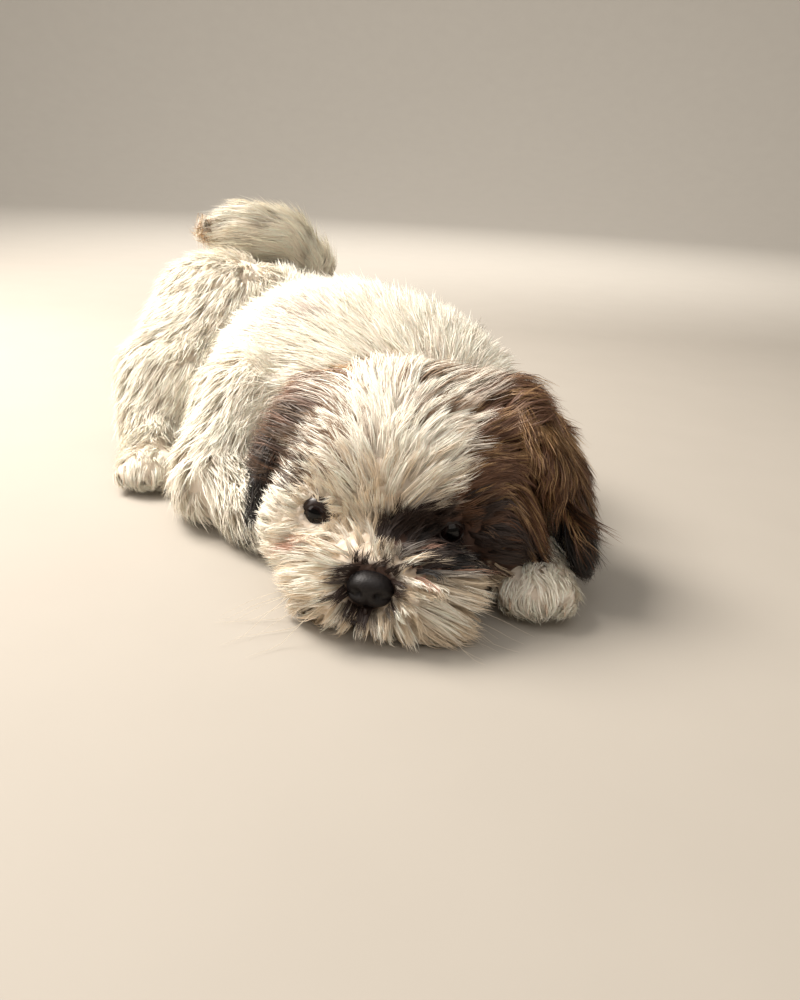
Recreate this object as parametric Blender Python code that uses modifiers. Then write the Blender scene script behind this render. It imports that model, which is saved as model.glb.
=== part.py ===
"""A shih tzu puppy lying flat with its chin between its forepaws, as a still model at life size."""

import math
import random

import bmesh
import bpy
import numpy as np
from mathutils import Euler, Matrix, Vector
from mathutils.bvhtree import BVHTree

# Axes: +X is the dog's left, -Y is the way it faces, +Z is up, in metres.
# While building, the chin's front edge is at the origin; place_on_floor shifts the whole at the end.

GAP = 0.0003
SEED = 13

# Coat: how far the core lies under the tips of the locks, about half the depth of the hair.
BODY_COAT = 0.0075
HEAD_COAT = 0.0045
LIMB_COAT = 0.0035
EAR_COAT = 0.0022
TAIL_COAT = 0.0060

# Locks: spacing of the roots, then length, width, thickness, rise of the tip and stiffness.
LOCKS = {
    "trunk": (0.0200, 0.040, 0.0170, 0.0036, 0.0075, 0.20),
    "neck": (0.0160, 0.024, 0.0140, 0.0032, 0.0070, 0.20),
    "leg": (0.0205, 0.027, 0.0140, 0.0030, 0.0040, 0.25),
    "tail": (0.0150, 0.036, 0.0120, 0.0030, 0.0070, 0.70),
    "crown": (0.0140, 0.031, 0.0125, 0.0026, 0.0045, 0.20),
    "brow": (0.0116, 0.027, 0.0100, 0.0022, 0.0042, 0.32),
    "muzzle": (0.0089, 0.022, 0.0080, 0.0020, 0.0040, 0.50),
    "ear": (0.0135, 0.028, 0.0115, 0.0022, 0.0028, 0.60),
}
STATIONS = (0.0, 0.30, 0.64, 1.0)
TAPER = (0.60, 1.0, 0.62)
ROOT_SINK = 0.0022
FLOOR_CLEAR = 0.0022
WAVE = 0.22
TRIES = 9000
BARE_EYE = 0.0105
BARE_NOSE = 0.0098

# Sizes of the voxels and the shares of triangles kept.
BODY_VOXEL = 0.0045
HEAD_VOXEL = 0.0026
BODY_KEEP = 0.056
HEAD_KEEP = 0.062

# Head: centres and half sizes, out to the tips of the coat.
NOSE = Vector((-0.001, 0.0055, 0.0190))
SKULL_CENTRE = Vector((0.011, 0.074, 0.0395))
SKULL_SIZE = Vector((0.057, 0.050, 0.0435))
BROW_CENTRE = Vector((0.006, 0.044, 0.044))
BROW_SIZE = Vector((0.038, 0.026, 0.027))
MUZZLE_CENTRE = Vector((0.004, 0.021, 0.0190))
MUZZLE_SIZE = Vector((0.036, 0.021, 0.0200))
CHEEK_RIGHT = Vector((-0.024, 0.047, 0.024))
CHEEK_LEFT = Vector((0.040, 0.047, 0.026))
CHEEK_SIZE = Vector((0.024, 0.027, 0.025))
FLEW_SPREAD = 0.0125
FLEW_SIZE = Vector((0.015, 0.014, 0.0125))
CHIN_CENTRE = Vector((0.004, 0.0140, 0.0068))
CHIN_SIZE = Vector((0.030, 0.0165, 0.0100))
HEAD_ROLL = math.radians(5)
HEAD_YAW = math.radians(8)

# Eyes, lids and nose pad.
EYE_RIGHT = Vector((-0.0212, 0.0335, 0.0348))
EYE_LEFT = Vector((0.0252, 0.0315, 0.0318))
EYE_RADIUS = 0.0066
LID_WALL = 0.0016
NOSE_SIZE = Vector((0.0082, 0.0062, 0.0062))
NOSE_CUT_LEVEL = 1
NOSTRIL_PLACE = Vector((0.0040, -0.0060, -0.0002))
NOSTRIL_SIZE = Vector((0.0017, 0.0030, 0.0016))
SLIT_PLACE = Vector((0.0066, -0.0042, -0.0017))
SLIT_SIZE = Vector((0.0026, 0.0024, 0.0007))
PHILTRUM_PLACE = Vector((0.0, -0.0066, -0.0042))
PHILTRUM_SIZE = Vector((0.0006, 0.0018, 0.0034))

# Ears: hanging leaves, cupped on the side that faces the head.
EAR_LEFT_ROOT = Vector((0.052, 0.082, 0.070))
EAR_LEFT_TIP = Vector((0.078, 0.043, 0.017))
EAR_RIGHT_ROOT = Vector((-0.032, 0.094, 0.060))
EAR_RIGHT_TIP = Vector((-0.053, 0.068, 0.008))
EAR_WIDTH = 0.024
EAR_DEPTH = 0.0085

# Body: masses from the neck to the rump, out to the tips of the coat.
NECK_CENTRE = Vector((0.002, 0.112, 0.044))
NECK_SIZE = Vector((0.056, 0.046, 0.041))
CHEST_CENTRE = Vector((-0.012, 0.150, 0.043))
CHEST_SIZE = Vector((0.080, 0.062, 0.0555))
RIBS_CENTRE = Vector((-0.026, 0.180, 0.044))
RIBS_SIZE = Vector((0.071, 0.060, 0.0555))
LOIN_CENTRE = Vector((-0.050, 0.214, 0.042))
LOIN_SIZE = Vector((0.054, 0.056, 0.049))
RUMP_CENTRE = Vector((-0.076, 0.248, 0.046))
RUMP_SIZE = Vector((0.052, 0.048, 0.053))

# Legs: joints on the ground plan, with half thicknesses.
FRONT_RIGHT = ((-0.062, 0.125, 0.040, 0.034), (-0.074, 0.100, 0.019, 0.0215),
               (-0.050, 0.079, 0.013, 0.0165), (-0.030, 0.059, 0.010, 0.0140))
FRONT_LEFT = ((0.034, 0.128, 0.037, 0.032), (0.060, 0.104, 0.020, 0.0205),
              (0.064, 0.072, 0.013, 0.0160), (0.062, 0.046, 0.011, 0.0140))
HIND_RIGHT = ((-0.098, 0.226, 0.056, 0.050), (-0.118, 0.190, 0.034, 0.033),
              (-0.124, 0.175, 0.018, 0.0205), (-0.120, 0.146, 0.011, 0.0150))
HIND_LEFT = ((-0.034, 0.250, 0.046, 0.045), (0.002, 0.226, 0.032, 0.033),
             (0.018, 0.206, 0.018, 0.0205), (0.030, 0.180, 0.011, 0.0150))
PAW_RIGHT = Vector((-0.0235, 0.050, 0.009))
PAW_LEFT = Vector((0.061, 0.036, 0.010))
HIND_PAW_RIGHT = Vector((-0.118, 0.136, 0.010))
HIND_PAW_LEFT = Vector((0.035, 0.171, 0.010))
PAW_SIZE = Vector((0.0150, 0.0185, 0.0105))
TOE_RADIUS = 0.0052

# Tail: carried up over the rump and turned to the dog's right.
TAIL = ((-0.066, 0.288, 0.066, 0.017), (-0.062, 0.290, 0.092, 0.017), (-0.074, 0.282, 0.107, 0.0185),
        (-0.092, 0.273, 0.1125, 0.0175), (-0.112, 0.265, 0.1135, 0.011))

# Small parts of the head.
FLEW_BACK = 0.009
FLEW_DROP = 0.0062
EYE_OPENING = 0.0062
EYE_ALMOND = 0.66
EYE_SPLAY = 0.30
EYE_LIFT = 0.10
EAR_STEPS = 10
EAR_BULGE = 0.006
EAR_CUP = Vector((0.0140, 0.0190, 0.0060))
CUP_SHARE = 0.50
CUP_BACK = 0.0012
EAR_VOXEL = 0.0026
EAR_KEEP = 0.10
EAR_RIGHT = (EAR_RIGHT_ROOT, EAR_RIGHT_TIP, Vector((-1.0, -0.25, 0.25)))
EAR_LEFT = (EAR_LEFT_ROOT, EAR_LEFT_TIP, Vector((0.85, -0.35, 0.40)))

# Toes, in steps across the foot.
TOE_STEP = 0.0066
TOE_REACH = 0.0125
TOE_ARC = 0.0016
TOE_DROP = 0.0012

# Where the lie of the coat changes.
NECK_LIMIT = 0.140
SIDE_FALL = 0.9
MUZZLE_REACH = 0.040
MUZZLE_TOP = 0.010
BROW_LIMIT = 0.062

# Cuts between the nodes: how far each zone reaches past the form that it holds.
ZONE_VOXEL = 0.010
ZONE_KEEP = 0.12
EAR_REACH = 0.0075
EAR_OUT = 0.0045
HEAD_REACH = 0.0095
HEAD_OUT = Vector((0.0, -0.0060, 0.0040))
LIMB_REACH = 0.0090
TAIL_REACH = 0.0120
JAW_CENTRE = Vector((0.001, 0.021, 0.0015))
JAW_SIZE = Vector((0.0185, 0.0235, 0.0085))
PAW_AHEAD = Vector((0, -0.004, 0))
PAW_ZONE = Vector((0.0195, 0.0230, 0.0180))
NECK_ZONE = Vector((-0.001, 0.112, 0.044))
NECK_ZONE_SIZE = Vector((0.068, 0.052, 0.062))
LENGTHS = (1.0, 0.8, 0.62, 0.46)

# Names of the repeated parts, and the finishes.
PAWS = {"front_right_paw": (PAW_RIGHT, math.radians(20)),
        "front_left_paw": (PAW_LEFT, math.radians(-5)),
        "hind_right_paw": (HIND_PAW_RIGHT, math.radians(8)),
        "hind_left_paw": (HIND_PAW_LEFT, math.radians(25))}
EARS = {"ear_right": EAR_RIGHT, "ear_left": EAR_LEFT}
LEGS = {"front_right_leg": FRONT_RIGHT, "front_left_leg": FRONT_LEFT,
        "hind_right_leg": HIND_RIGHT, "hind_left_leg": HIND_LEFT}
FINISHES = {"coat": ((0.82, 0.76, 0.66), 0.8), "nose": ((0.02, 0.015, 0.015), 0.35),
            "eye_right": ((0.01, 0.008, 0.008), 0.05), "eye_left": ((0.01, 0.008, 0.008), 0.05),
            "ear_right": ((0.10, 0.05, 0.03), 0.8), "ear_left": ((0.16, 0.08, 0.04), 0.8)}


def apply_modifiers(obj):
    """Replaces the object's mesh by its evaluated one and drops the modifiers."""
    graph = bpy.context.evaluated_depsgraph_get()
    mesh = bpy.data.meshes.new_from_object(obj.evaluated_get(graph))
    obj.modifiers.clear()
    old = obj.data
    obj.data = mesh
    bpy.data.meshes.remove(old)
    return obj


def new_object(name, bm, collection):
    """A mesh object from a bmesh, linked to the collection."""
    mesh = bpy.data.meshes.new(name)
    bm.to_mesh(mesh)
    bm.free()
    obj = bpy.data.objects.new(name, mesh)
    collection.objects.link(obj)
    return obj


def ellipsoid_into(bm, centre, size, turn=None, segments=20, rings=12):
    """Adds a UV sphere scaled to the half sizes, turned and moved."""
    rotation = turn.to_matrix().to_4x4() if turn else Matrix()
    place = Matrix.Translation(centre) @ rotation @ Matrix.Diagonal((*size, 1.0))
    bmesh.ops.create_uvsphere(bm, u_segments=segments, v_segments=rings, radius=1.0, matrix=place)


def icosphere_into(bm, centre, size, turn=None, level=2):
    """Adds a coarse ball scaled to the half sizes, for the cuts."""
    rotation = turn.to_matrix().to_4x4() if turn else Matrix()
    place = Matrix.Translation(centre) @ rotation @ Matrix.Diagonal((*size, 1.0))
    bmesh.ops.create_icosphere(bm, subdivisions=level, radius=1.0, matrix=place)


def limb_into(bm, stations, inset, steps=5):
    """Adds a chain of balls through the stations (x, y, z, radius), each less by the inset."""
    for first, second in zip(stations, stations[1:]):
        for k in range(steps + 1):
            mix = k / steps
            x, y, z, radius = (a + (b - a) * mix for a, b in zip(first, second))
            r = radius - inset
            ellipsoid_into(bm, Vector((x, y, z)), Vector((r, r, r)), segments=12, rings=8)


def remeshed(obj, voxel, keep, smooth):
    """Melts overlapping shells into one smooth closed skin, then thins its triangles."""
    melt = obj.modifiers.new("melt", "REMESH")
    melt.mode = "VOXEL"
    melt.voxel_size = voxel
    soften = obj.modifiers.new("soften", "SMOOTH")
    soften.factor = 0.5
    soften.iterations = smooth
    thin = obj.modifiers.new("thin", "DECIMATE")
    thin.ratio = keep
    thin.use_collapse_triangulate = True
    return apply_modifiers(obj)


def largest(obj):
    """Keeps only the closed surface of the greatest volume."""
    bm = bmesh.new()
    bm.from_mesh(obj.data)
    bmesh.ops.triangulate(bm, faces=bm.faces[:])
    left = set(bm.faces)
    shells = []
    while left:
        stack = [left.pop()]
        shell = []
        while stack:
            face = stack.pop()
            shell.append(face)
            for edge in face.edges:
                for other in edge.link_faces:
                    if other in left:
                        left.remove(other)
                        stack.append(other)
        shells.append(shell)
    shells.sort(key=lambda shell: -abs(shell_volume(shell)))
    for shell in shells[1:]:
        bmesh.ops.delete(bm, geom=shell, context="FACES")
    bm.to_mesh(obj.data)
    bm.free()
    return obj


def shell_volume(faces):
    """Signed volume of a closed set of triangles."""
    total = 0.0
    for face in faces:
        a, b, c = (v.co for v in face.verts)
        total += a.dot(b.cross(c)) / 6
    return total


def boolean(obj, operation, other, solver="MANIFOLD"):
    """Applies one Boolean with one closed mesh object."""
    step = obj.modifiers.new("step", "BOOLEAN")
    step.operation = operation
    step.solver = solver
    step.object = other
    return apply_modifiers(obj)


def join_all(obj, pieces, solver="MANIFOLD"):
    """Applies one Boolean union on a collection of closed meshes, then removes them."""
    step = obj.modifiers.new("join", "BOOLEAN")
    step.operation = "UNION"
    step.solver = solver
    step.operand_type = "COLLECTION"
    step.collection = pieces
    apply_modifiers(obj)
    for piece in list(pieces.objects):
        bpy.data.objects.remove(piece)
    return largest(obj)


def head_turn():
    """The turn that the tilted head has about the line of its nose."""
    return Euler((0.0, HEAD_ROLL, -HEAD_YAW))


def head_masses(bm, grow):
    """Skull, brow, muzzle, cheeks, lips and chin, each grown or shrunk by the same depth."""
    more = Vector((grow, grow, grow))
    turn = head_turn()
    for centre, size in ((SKULL_CENTRE, SKULL_SIZE), (BROW_CENTRE, BROW_SIZE),
                         (MUZZLE_CENTRE, MUZZLE_SIZE), (CHEEK_RIGHT, CHEEK_SIZE),
                         (CHEEK_LEFT, CHEEK_SIZE), (CHIN_CENTRE, CHIN_SIZE)):
        ellipsoid_into(bm, centre, size + more, turn)
    for side in (-1, 1):
        flew = Vector((NOSE.x + side * FLEW_SPREAD, NOSE.y + FLEW_BACK, NOSE.z - FLEW_DROP))
        ellipsoid_into(bm, flew, FLEW_SIZE + more * 0.5, turn)


def trunk_masses(bm, grow):
    """Neck, chest, ribs, loin and rump."""
    more = Vector((grow, grow, grow))
    for centre, size in ((NECK_CENTRE, NECK_SIZE), (CHEST_CENTRE, CHEST_SIZE),
                         (RIBS_CENTRE, RIBS_SIZE), (LOIN_CENTRE, LOIN_SIZE),
                         (RUMP_CENTRE, RUMP_SIZE)):
        ellipsoid_into(bm, centre, size + more)


def paw_masses(bm, paw, heading, grow):
    """Pad of the foot and its four toes, turned to the heading."""
    turn = Euler((0.0, 0.0, heading))
    ellipsoid_into(bm, paw, PAW_SIZE + Vector((grow, grow, grow)), turn)
    for k in range(4):
        aside = k - 1.5
        toe = Vector((aside * TOE_STEP, -TOE_REACH + abs(aside) * TOE_ARC, -TOE_DROP))
        toe.rotate(turn)
        size = Vector((TOE_RADIUS, TOE_RADIUS * 1.25, TOE_RADIUS)) + Vector((grow, grow, grow))
        ellipsoid_into(bm, paw + toe, size, turn, segments=12, rings=8)


def ear_axes(ear):
    """From root to tip, the way out of the outer face, and the turn that lays a ball along both."""
    root, tip, outward = ear
    along = tip - root
    normal = (outward - along * (outward.dot(along) / along.length_squared)).normalized()
    across = normal.cross(along.normalized())
    return along, normal, Matrix((across, along.normalized(), normal)).transposed().to_euler()


def ear_masses(bm, ear, grow):
    """A hanging leaf: a row of flattened balls from the root to the tip."""
    root = ear[0]
    along, normal, turn = ear_axes(ear)
    for k in range(EAR_STEPS + 1):
        s = k / EAR_STEPS
        wide = EAR_WIDTH * (0.62 + 0.38 * math.sin(math.pi * min(1.0, s * 1.25 + 0.1))) * (1 - 0.30 * s * s)
        bulge = normal * EAR_BULGE * math.sin(math.pi * s)
        size = Vector((wide, along.length / EAR_STEPS * 1.15, EAR_DEPTH * (1 - 0.30 * s)))
        ellipsoid_into(bm, root + along * s + bulge, size + Vector((grow, grow, grow)), turn, 16, 10)


def ear_cup(node, ear, helpers):
    """Hollows the ear's inner face, the one towards the head, into a shallow cup."""
    along, normal, turn = ear_axes(ear)
    inner = EAR_BULGE * math.sin(math.pi * CUP_SHARE) - EAR_DEPTH - CUP_BACK
    middle = ear[0] + along * CUP_SHARE + normal * inner
    return largest(boolean(node, "DIFFERENCE", ball("ear_cup", middle, EAR_CUP, helpers, turn, 3)))


def melted(name, fill, voxel, keep, smooth, collection):
    """One smooth closed skin over the masses that fill() adds."""
    bm = bmesh.new()
    fill(bm)
    obj = new_object(name, bm, collection)
    return remeshed(obj, voxel, keep, smooth)


def as_cutter(obj):
    """Marks a helper so that it is no part of the model."""
    obj.hide_render = True
    obj.display_type = "WIRE"
    return obj


def zone(name, fill, helpers, shift=Vector()):
    """A smooth closed cutter over the masses that fill() adds, moved by the shift."""
    obj = melted(name, fill, ZONE_VOXEL, ZONE_KEEP, 4, helpers)
    obj.data.transform(Matrix.Translation(shift))
    return as_cutter(obj)


def ball(name, centre, size, helpers, turn=None, level=2):
    """A coarse ball as a cutter."""
    bm = bmesh.new()
    icosphere_into(bm, centre, size, turn, level)
    return as_cutter(new_object(name, bm, helpers))


def slab(name, low, high, helpers):
    """A box between two corners as a cutter."""
    bm = bmesh.new()
    middle = (low + high) / 2
    size = high - low
    bmesh.ops.create_cube(bm, size=1.0, matrix=Matrix.Translation(middle) @ Matrix.Diagonal((*size, 1.0)))
    return as_cutter(new_object(name, bm, helpers))


def swollen(obj, depth, helpers):
    """A copy of a smooth cutter whose faces all lie further out."""
    mesh = obj.data.copy()
    copy = bpy.data.objects.new(obj.name + "_gap", mesh)
    helpers.objects.link(copy)
    as_cutter(copy)
    bm = bmesh.new()
    bm.from_mesh(mesh)
    bm.normal_update()
    shifts = [v.normal * depth * v.calc_shell_factor() for v in bm.verts]
    for v, shift in zip(bm.verts, shifts):
        v.co += shift
    bm.to_mesh(mesh)
    bm.free()
    return copy


def parted(rest, name, cutter, model, helpers):
    """Takes the part of the rest that lies in the cutter as its own node, with a thin gap."""
    piece = bpy.data.objects.new(name, rest.data.copy())
    model.objects.link(piece)
    boolean(piece, "INTERSECT", cutter)
    largest(piece)
    boolean(rest, "DIFFERENCE", swollen(cutter, GAP, helpers))
    return piece


def gaze_turn(side):
    """The turn of an eye that looks ahead and a little outward."""
    return Vector((side * EYE_SPLAY, -1.0, EYE_LIFT)).normalized().to_track_quat("-Y", "Z").to_euler()


def eye(head, name, centre, side, model, helpers):
    """Adds lids with an almond opening to the head, hollows the socket and sets the ball in it."""
    turn = gaze_turn(side)
    wall = EYE_RADIUS + LID_WALL
    boolean(head, "UNION", ball("lids", centre, Vector((wall, wall, wall)), helpers, turn, 2))
    ahead = Vector((0, -EYE_RADIUS, 0))
    ahead.rotate(turn)
    slit = Vector((EYE_OPENING, EYE_RADIUS * 1.6, EYE_OPENING * EYE_ALMOND))
    boolean(head, "DIFFERENCE", ball("slit", centre + ahead, slit, helpers, turn, 2))
    hole = EYE_RADIUS + GAP
    boolean(head, "DIFFERENCE", ball("socket", centre, Vector((hole, hole, hole)), helpers, turn, 3))
    bm = bmesh.new()
    icosphere_into(bm, centre, Vector((EYE_RADIUS, EYE_RADIUS, EYE_RADIUS)), turn, 3)
    return new_object(name, bm, model)


def nose(head, model, helpers):
    """The pad with two nostrils, the slits beside them and the groove below, set in the head."""
    turn = head_turn()
    bm = bmesh.new()
    icosphere_into(bm, NOSE, NOSE_SIZE, turn, 3)
    pad = new_object("nose", bm, model)
    cuts = [("philtrum", PHILTRUM_PLACE, PHILTRUM_SIZE)]
    for side in (-1, 1):
        mirror = Vector((side, 1, 1))
        cuts.append(("nostril", NOSTRIL_PLACE * mirror, NOSTRIL_SIZE))
        cuts.append(("nostril_slit", SLIT_PLACE * mirror, SLIT_SIZE))
    for name, place, size in cuts:
        place = place.copy()
        place.rotate(turn)
        boolean(pad, "DIFFERENCE", ball(name, NOSE + place, size, helpers, turn, NOSE_CUT_LEVEL))
    bed = ball("nose_bed", NOSE, NOSE_SIZE + Vector((GAP, GAP, GAP)), helpers, turn, 3)
    boolean(head, "DIFFERENCE", bed)
    return largest(pad)


def tangent(direction, up):
    """The direction with its part along the surface's normal taken away."""
    flat = direction - up * direction.dot(up)
    return flat.normalized() if flat.length > 1e-6 else up.orthogonal().normalized()


def limb_heading(point, stations):
    """Distance from a limb's middle line less its thickness, and the way it runs there."""
    best = (9.0, None)
    for first, second in zip(stations, stations[1:]):
        start = Vector(first[:3])
        along = Vector(second[:3]) - start
        mix = min(1.0, max(0.0, (point - start).dot(along) / along.length_squared))
        radius = first[3] + (second[3] - first[3]) * mix
        away = (point - start - along * mix).length - radius
        if away < best[0]:
            best = (away, along.normalized())
    return best


def body_lie(point):
    """Kind of lock and lie of the coat on the trunk, legs and tail."""
    away, along = limb_heading(point, TAIL[1:])
    if away < 0.004:
        return "tail", along
    spine = (RUMP_CENTRE - NECK_CENTRE).normalized()
    for leg in LEGS.values():
        away, along = limb_heading(point, leg[1:])
        if away < 0.0:
            return "leg", along + Vector((0, 0, -0.5))
        if limb_heading(point, leg[:2])[0] < 0.001:
            return "leg", along * 0.4 + spine * 0.4 + Vector((0, 0, -1))
    kind = "neck" if point.y < NECK_LIMIT else "trunk"
    return kind, spine + Vector((0, 0, -SIDE_FALL))


def head_lie(point):
    """Kind of lock and lie on the head: away from the nose on every side, and down on the cheeks."""
    away = point - NOSE
    if away.length < MUZZLE_REACH and point.z < NOSE.z + MUZZLE_TOP:
        return "muzzle", away + Vector((0, -0.004, -0.004))
    kind = "brow" if point.y < BROW_LIMIT else "crown"
    return kind, away.normalized() + Vector((0, 0, -0.25))


def scattered(tree, faces, kind_of, blocked, rng):
    """Roots spread evenly over a surface by their kind's spacing, as (point, normal, kind)."""
    areas = [area for _, _, area in faces]
    totals = np.cumsum(areas)
    kept = []
    for _ in range(TRIES):
        pick = int(np.searchsorted(totals, rng.random() * totals[-1]))
        corners, normal, _ = faces[min(len(faces) - 1, pick)]
        u, v = rng.random(), rng.random()
        if u + v > 1:
            u, v = 1 - u, 1 - v
        point = corners[0] + (corners[1] - corners[0]) * u + (corners[2] - corners[0]) * v
        if point.z < FLOOR_CLEAR or normal.z < -0.45 or blocked(point):
            continue
        kind = kind_of(point)[0]
        space = LOCKS[kind][0]
        if all((point - other).length > space for other, _, _ in kept):
            kept.append((point, tree.find_nearest(point)[1], kind))
    return kept


def lock_mesh(tree, root, up, kind, lie, share_of_length, rng):
    """One flat, tapered lock with a low ridge, which follows the lie of the coat over the surface."""
    _, length, width, thick, rise, stiff = LOCKS[kind]
    length *= rng.uniform(0.82, 1.18) * share_of_length
    width *= rng.uniform(0.85, 1.15)
    sway = rng.uniform(-WAVE, WAVE)
    bm = bmesh.new()
    rings = []
    point = root
    for k, share in enumerate(STATIONS):
        heading = tangent(lie(point)[1].normalized() + up.cross(lie(point)[1].normalized()) * sway, up)
        if k:
            guess = point + heading * length * (share - STATIONS[k - 1])
            near, normal, _, _ = tree.find_nearest(guess)
            point = near.lerp(guess, stiff)
            up = up.lerp(normal, 1 - stiff).normalized()
        centre = point + up * (-ROOT_SINK + (ROOT_SINK + rise) * share ** 0.8)
        centre.z = max(centre.z, FLOOR_CLEAR)
        if k == len(TAPER):
            tip = bm.verts.new(centre)
            break
        side = up.cross(heading).normalized() * width * TAPER[k] / 2
        ridge = up * thick * TAPER[k]
        rings.append([bm.verts.new(centre + offset) for offset in (side, ridge, -side)])
    bm.faces.new(rings[0])
    for lower, upper in zip(rings, rings[1:]):
        for a in range(3):
            b = (a + 1) % 3
            bm.faces.new((lower[a], lower[b], upper[b]))
            bm.faces.new((lower[a], upper[b], upper[a]))
    for a in range(3):
        bm.faces.new((rings[-1][a], rings[-1][(a + 1) % 3], tip))
    bmesh.ops.recalc_face_normals(bm, faces=bm.faces[:])
    bm.verts.ensure_lookup_table()
    return bm


def surface_of(obj):
    """The nearest-point tree and the triangles of a closed mesh."""
    bm = bmesh.new()
    bm.from_mesh(obj.data)
    bmesh.ops.triangulate(bm, faces=bm.faces[:])
    tree = BVHTree.FromBMesh(bm)
    faces = [([v.co.copy() for v in f.verts], f.normal.copy(), f.calc_area()) for f in bm.faces]
    bm.free()
    return tree, faces


def inside(tree, point, depth=0.0):
    """Whether a point lies inside a closed surface by more than the depth."""
    near, normal, _, distance = tree.find_nearest(point)
    return (point - near).dot(normal) < 0 and distance > depth


def owner(zones, point):
    """The node whose zone holds a point: the first of the zones in the order of their cuts."""
    for name, tree in zones.items():
        if inside(tree, point):
            return name
    return "torso"


def grow_coat(surfaces, zones, coat):
    """Puts every lock of the coat in the collection, each short enough to end over its own node."""
    rng = random.Random(SEED)
    for name, (tree, faces, lie) in surfaces.items():
        others = [entry[0] for other, entry in surfaces.items() if other != name]

        def blocked(point, others=others):
            bare = min((point - EYE_RIGHT).length, (point - EYE_LEFT).length) < BARE_EYE
            return bare or (point - NOSE).length < BARE_NOSE or any(inside(t, point) for t in others)

        for root, up, kind in scattered(tree, faces, lie, blocked, rng):
            state = rng.getstate()
            home = owner(zones, root)
            for share in LENGTHS:
                rng.setstate(state)
                bm = lock_mesh(tree, root, up, kind, lie, share, rng)
                if all(owner(zones, v.co) == home for v in bm.verts[3:]):
                    new_object("lock", bm, coat)
                    break
                bm.free()


def material(name, colour, roughness):
    """One plain shader per node."""
    made = bpy.data.materials.new(name)
    made.use_nodes = True
    shader = made.node_tree.nodes["Principled BSDF"]
    shader.inputs["Base Color"].default_value = (*colour, 1.0)
    shader.inputs["Roughness"].default_value = roughness
    return made


def whole_coat(zones, model, coat):
    """Trunk with legs and tail, head and ears as closed skins, with their locks, fused into one."""
    def fill_body(bm):
        trunk_masses(bm, -BODY_COAT)
        for leg in LEGS.values():
            limb_into(bm, leg, LIMB_COAT)
        limb_into(bm, TAIL, TAIL_COAT)
        for paw, heading in PAWS.values():
            paw_masses(bm, paw, heading, 0.0)

    body = melted("torso", fill_body, BODY_VOXEL, BODY_KEEP, 8, model)
    head = melted("head_core", lambda bm: head_masses(bm, -HEAD_COAT), HEAD_VOXEL, HEAD_KEEP, 5, coat)
    surfaces = {"body": (*surface_of(body), body_lie), "head": (*surface_of(head), head_lie)}
    for name, ear in EARS.items():
        def fill_ear(bm, e=ear):
            ear_masses(bm, e, -EAR_COAT)

        leaf = melted(name + "_core", fill_ear, EAR_VOXEL, EAR_KEEP, 3, coat)
        surfaces[name] = (*surface_of(leaf), lambda point, e=ear: ("ear", e[1] - e[0]))
    trees = {name: surface_of(cutter)[0] for name, cutter in zones.items()}
    grow_coat(surfaces, trees, coat)
    return join_all(body, coat)


def cut_zones(helpers):
    """The cutters of the nodes, in the order of their cuts; what none of them holds is the torso."""
    zones = {}
    for name, ear in EARS.items():
        outward = ear[2].normalized() * EAR_OUT
        zones[name] = zone(name + "_zone", lambda bm, e=ear: ear_masses(bm, e, EAR_REACH), helpers, outward)
    zones["lower_jaw"] = ball("jaw_zone", JAW_CENTRE, JAW_SIZE, helpers, head_turn(), 2)
    for name, (paw, heading) in PAWS.items():
        zones[name] = ball(name + "_zone", paw + PAW_AHEAD, PAW_ZONE, helpers, Euler((0, 0, heading)), 2)
    zones["head"] = zone("head_zone", lambda bm: head_masses(bm, HEAD_REACH), helpers, HEAD_OUT)
    for name, leg in LEGS.items():
        zones[name] = zone(name + "_zone", lambda bm, g=leg: limb_into(bm, g, -LIMB_REACH), helpers)
    zones["tail"] = zone("tail_zone", lambda bm: limb_into(bm, TAIL, -TAIL_REACH), helpers)
    zones["neck"] = ball("neck_zone", NECK_ZONE, NECK_ZONE_SIZE, helpers, None, 2)
    return zones


def cut_nodes(rest, zones, model, helpers):
    """Parts the whole with thin cuts into its named nodes."""
    nodes = [parted(rest, name, cutter, model, helpers) for name, cutter in zones.items()]
    return nodes + [largest(rest)]


def place_on_floor(nodes):
    """Shifts all nodes so that the origin is the bottom centre of their common box."""
    points = [v.co for obj in nodes for v in obj.data.vertices]
    low = Vector(min(p[i] for p in points) for i in range(3))
    high = Vector(max(p[i] for p in points) for i in range(3))
    shift = Matrix.Translation(Vector((-(low.x + high.x) / 2, -(low.y + high.y) / 2, -low.z)))
    for obj in nodes:
        obj.data.transform(shift)


def clear_scene():
    """Removes everything that the startup file holds."""
    for obj in list(bpy.data.objects):
        bpy.data.objects.remove(obj)
    for collection in list(bpy.data.collections):
        bpy.data.collections.remove(collection)


def main():
    clear_scene()
    model, helpers, coat = (bpy.data.collections.new(name) for name in ("shih_tzu", "cutters", "coat"))
    for collection in (model, helpers, coat):
        bpy.context.scene.collection.children.link(collection)
    zones = cut_zones(helpers)
    whole = whole_coat(zones, model, coat)
    boolean(whole, "DIFFERENCE", slab("floor", Vector((-1, -1, -1)), Vector((1, 1, 0)), helpers))
    nodes = cut_nodes(largest(whole), zones, model, helpers)
    for name, ear in EARS.items():
        ear_cup(bpy.data.objects[name], ear, helpers)
    head = bpy.data.objects["head"]
    nodes.append(eye(head, "eye_right", EYE_RIGHT, -1, model, helpers))
    nodes.append(eye(head, "eye_left", EYE_LEFT, 1, model, helpers))
    nodes.append(nose(head, model, helpers))
    largest(head)
    for obj in nodes:
        colour, roughness = FINISHES.get(obj.name, FINISHES["coat"])
        obj.data.materials.clear()
        obj.data.materials.append(material(obj.name, colour, roughness))
    place_on_floor(nodes)


main()
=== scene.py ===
"""Looks of a shih tzu puppy that lies with its chin between its forepaws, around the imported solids."""

import functools
import math

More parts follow.
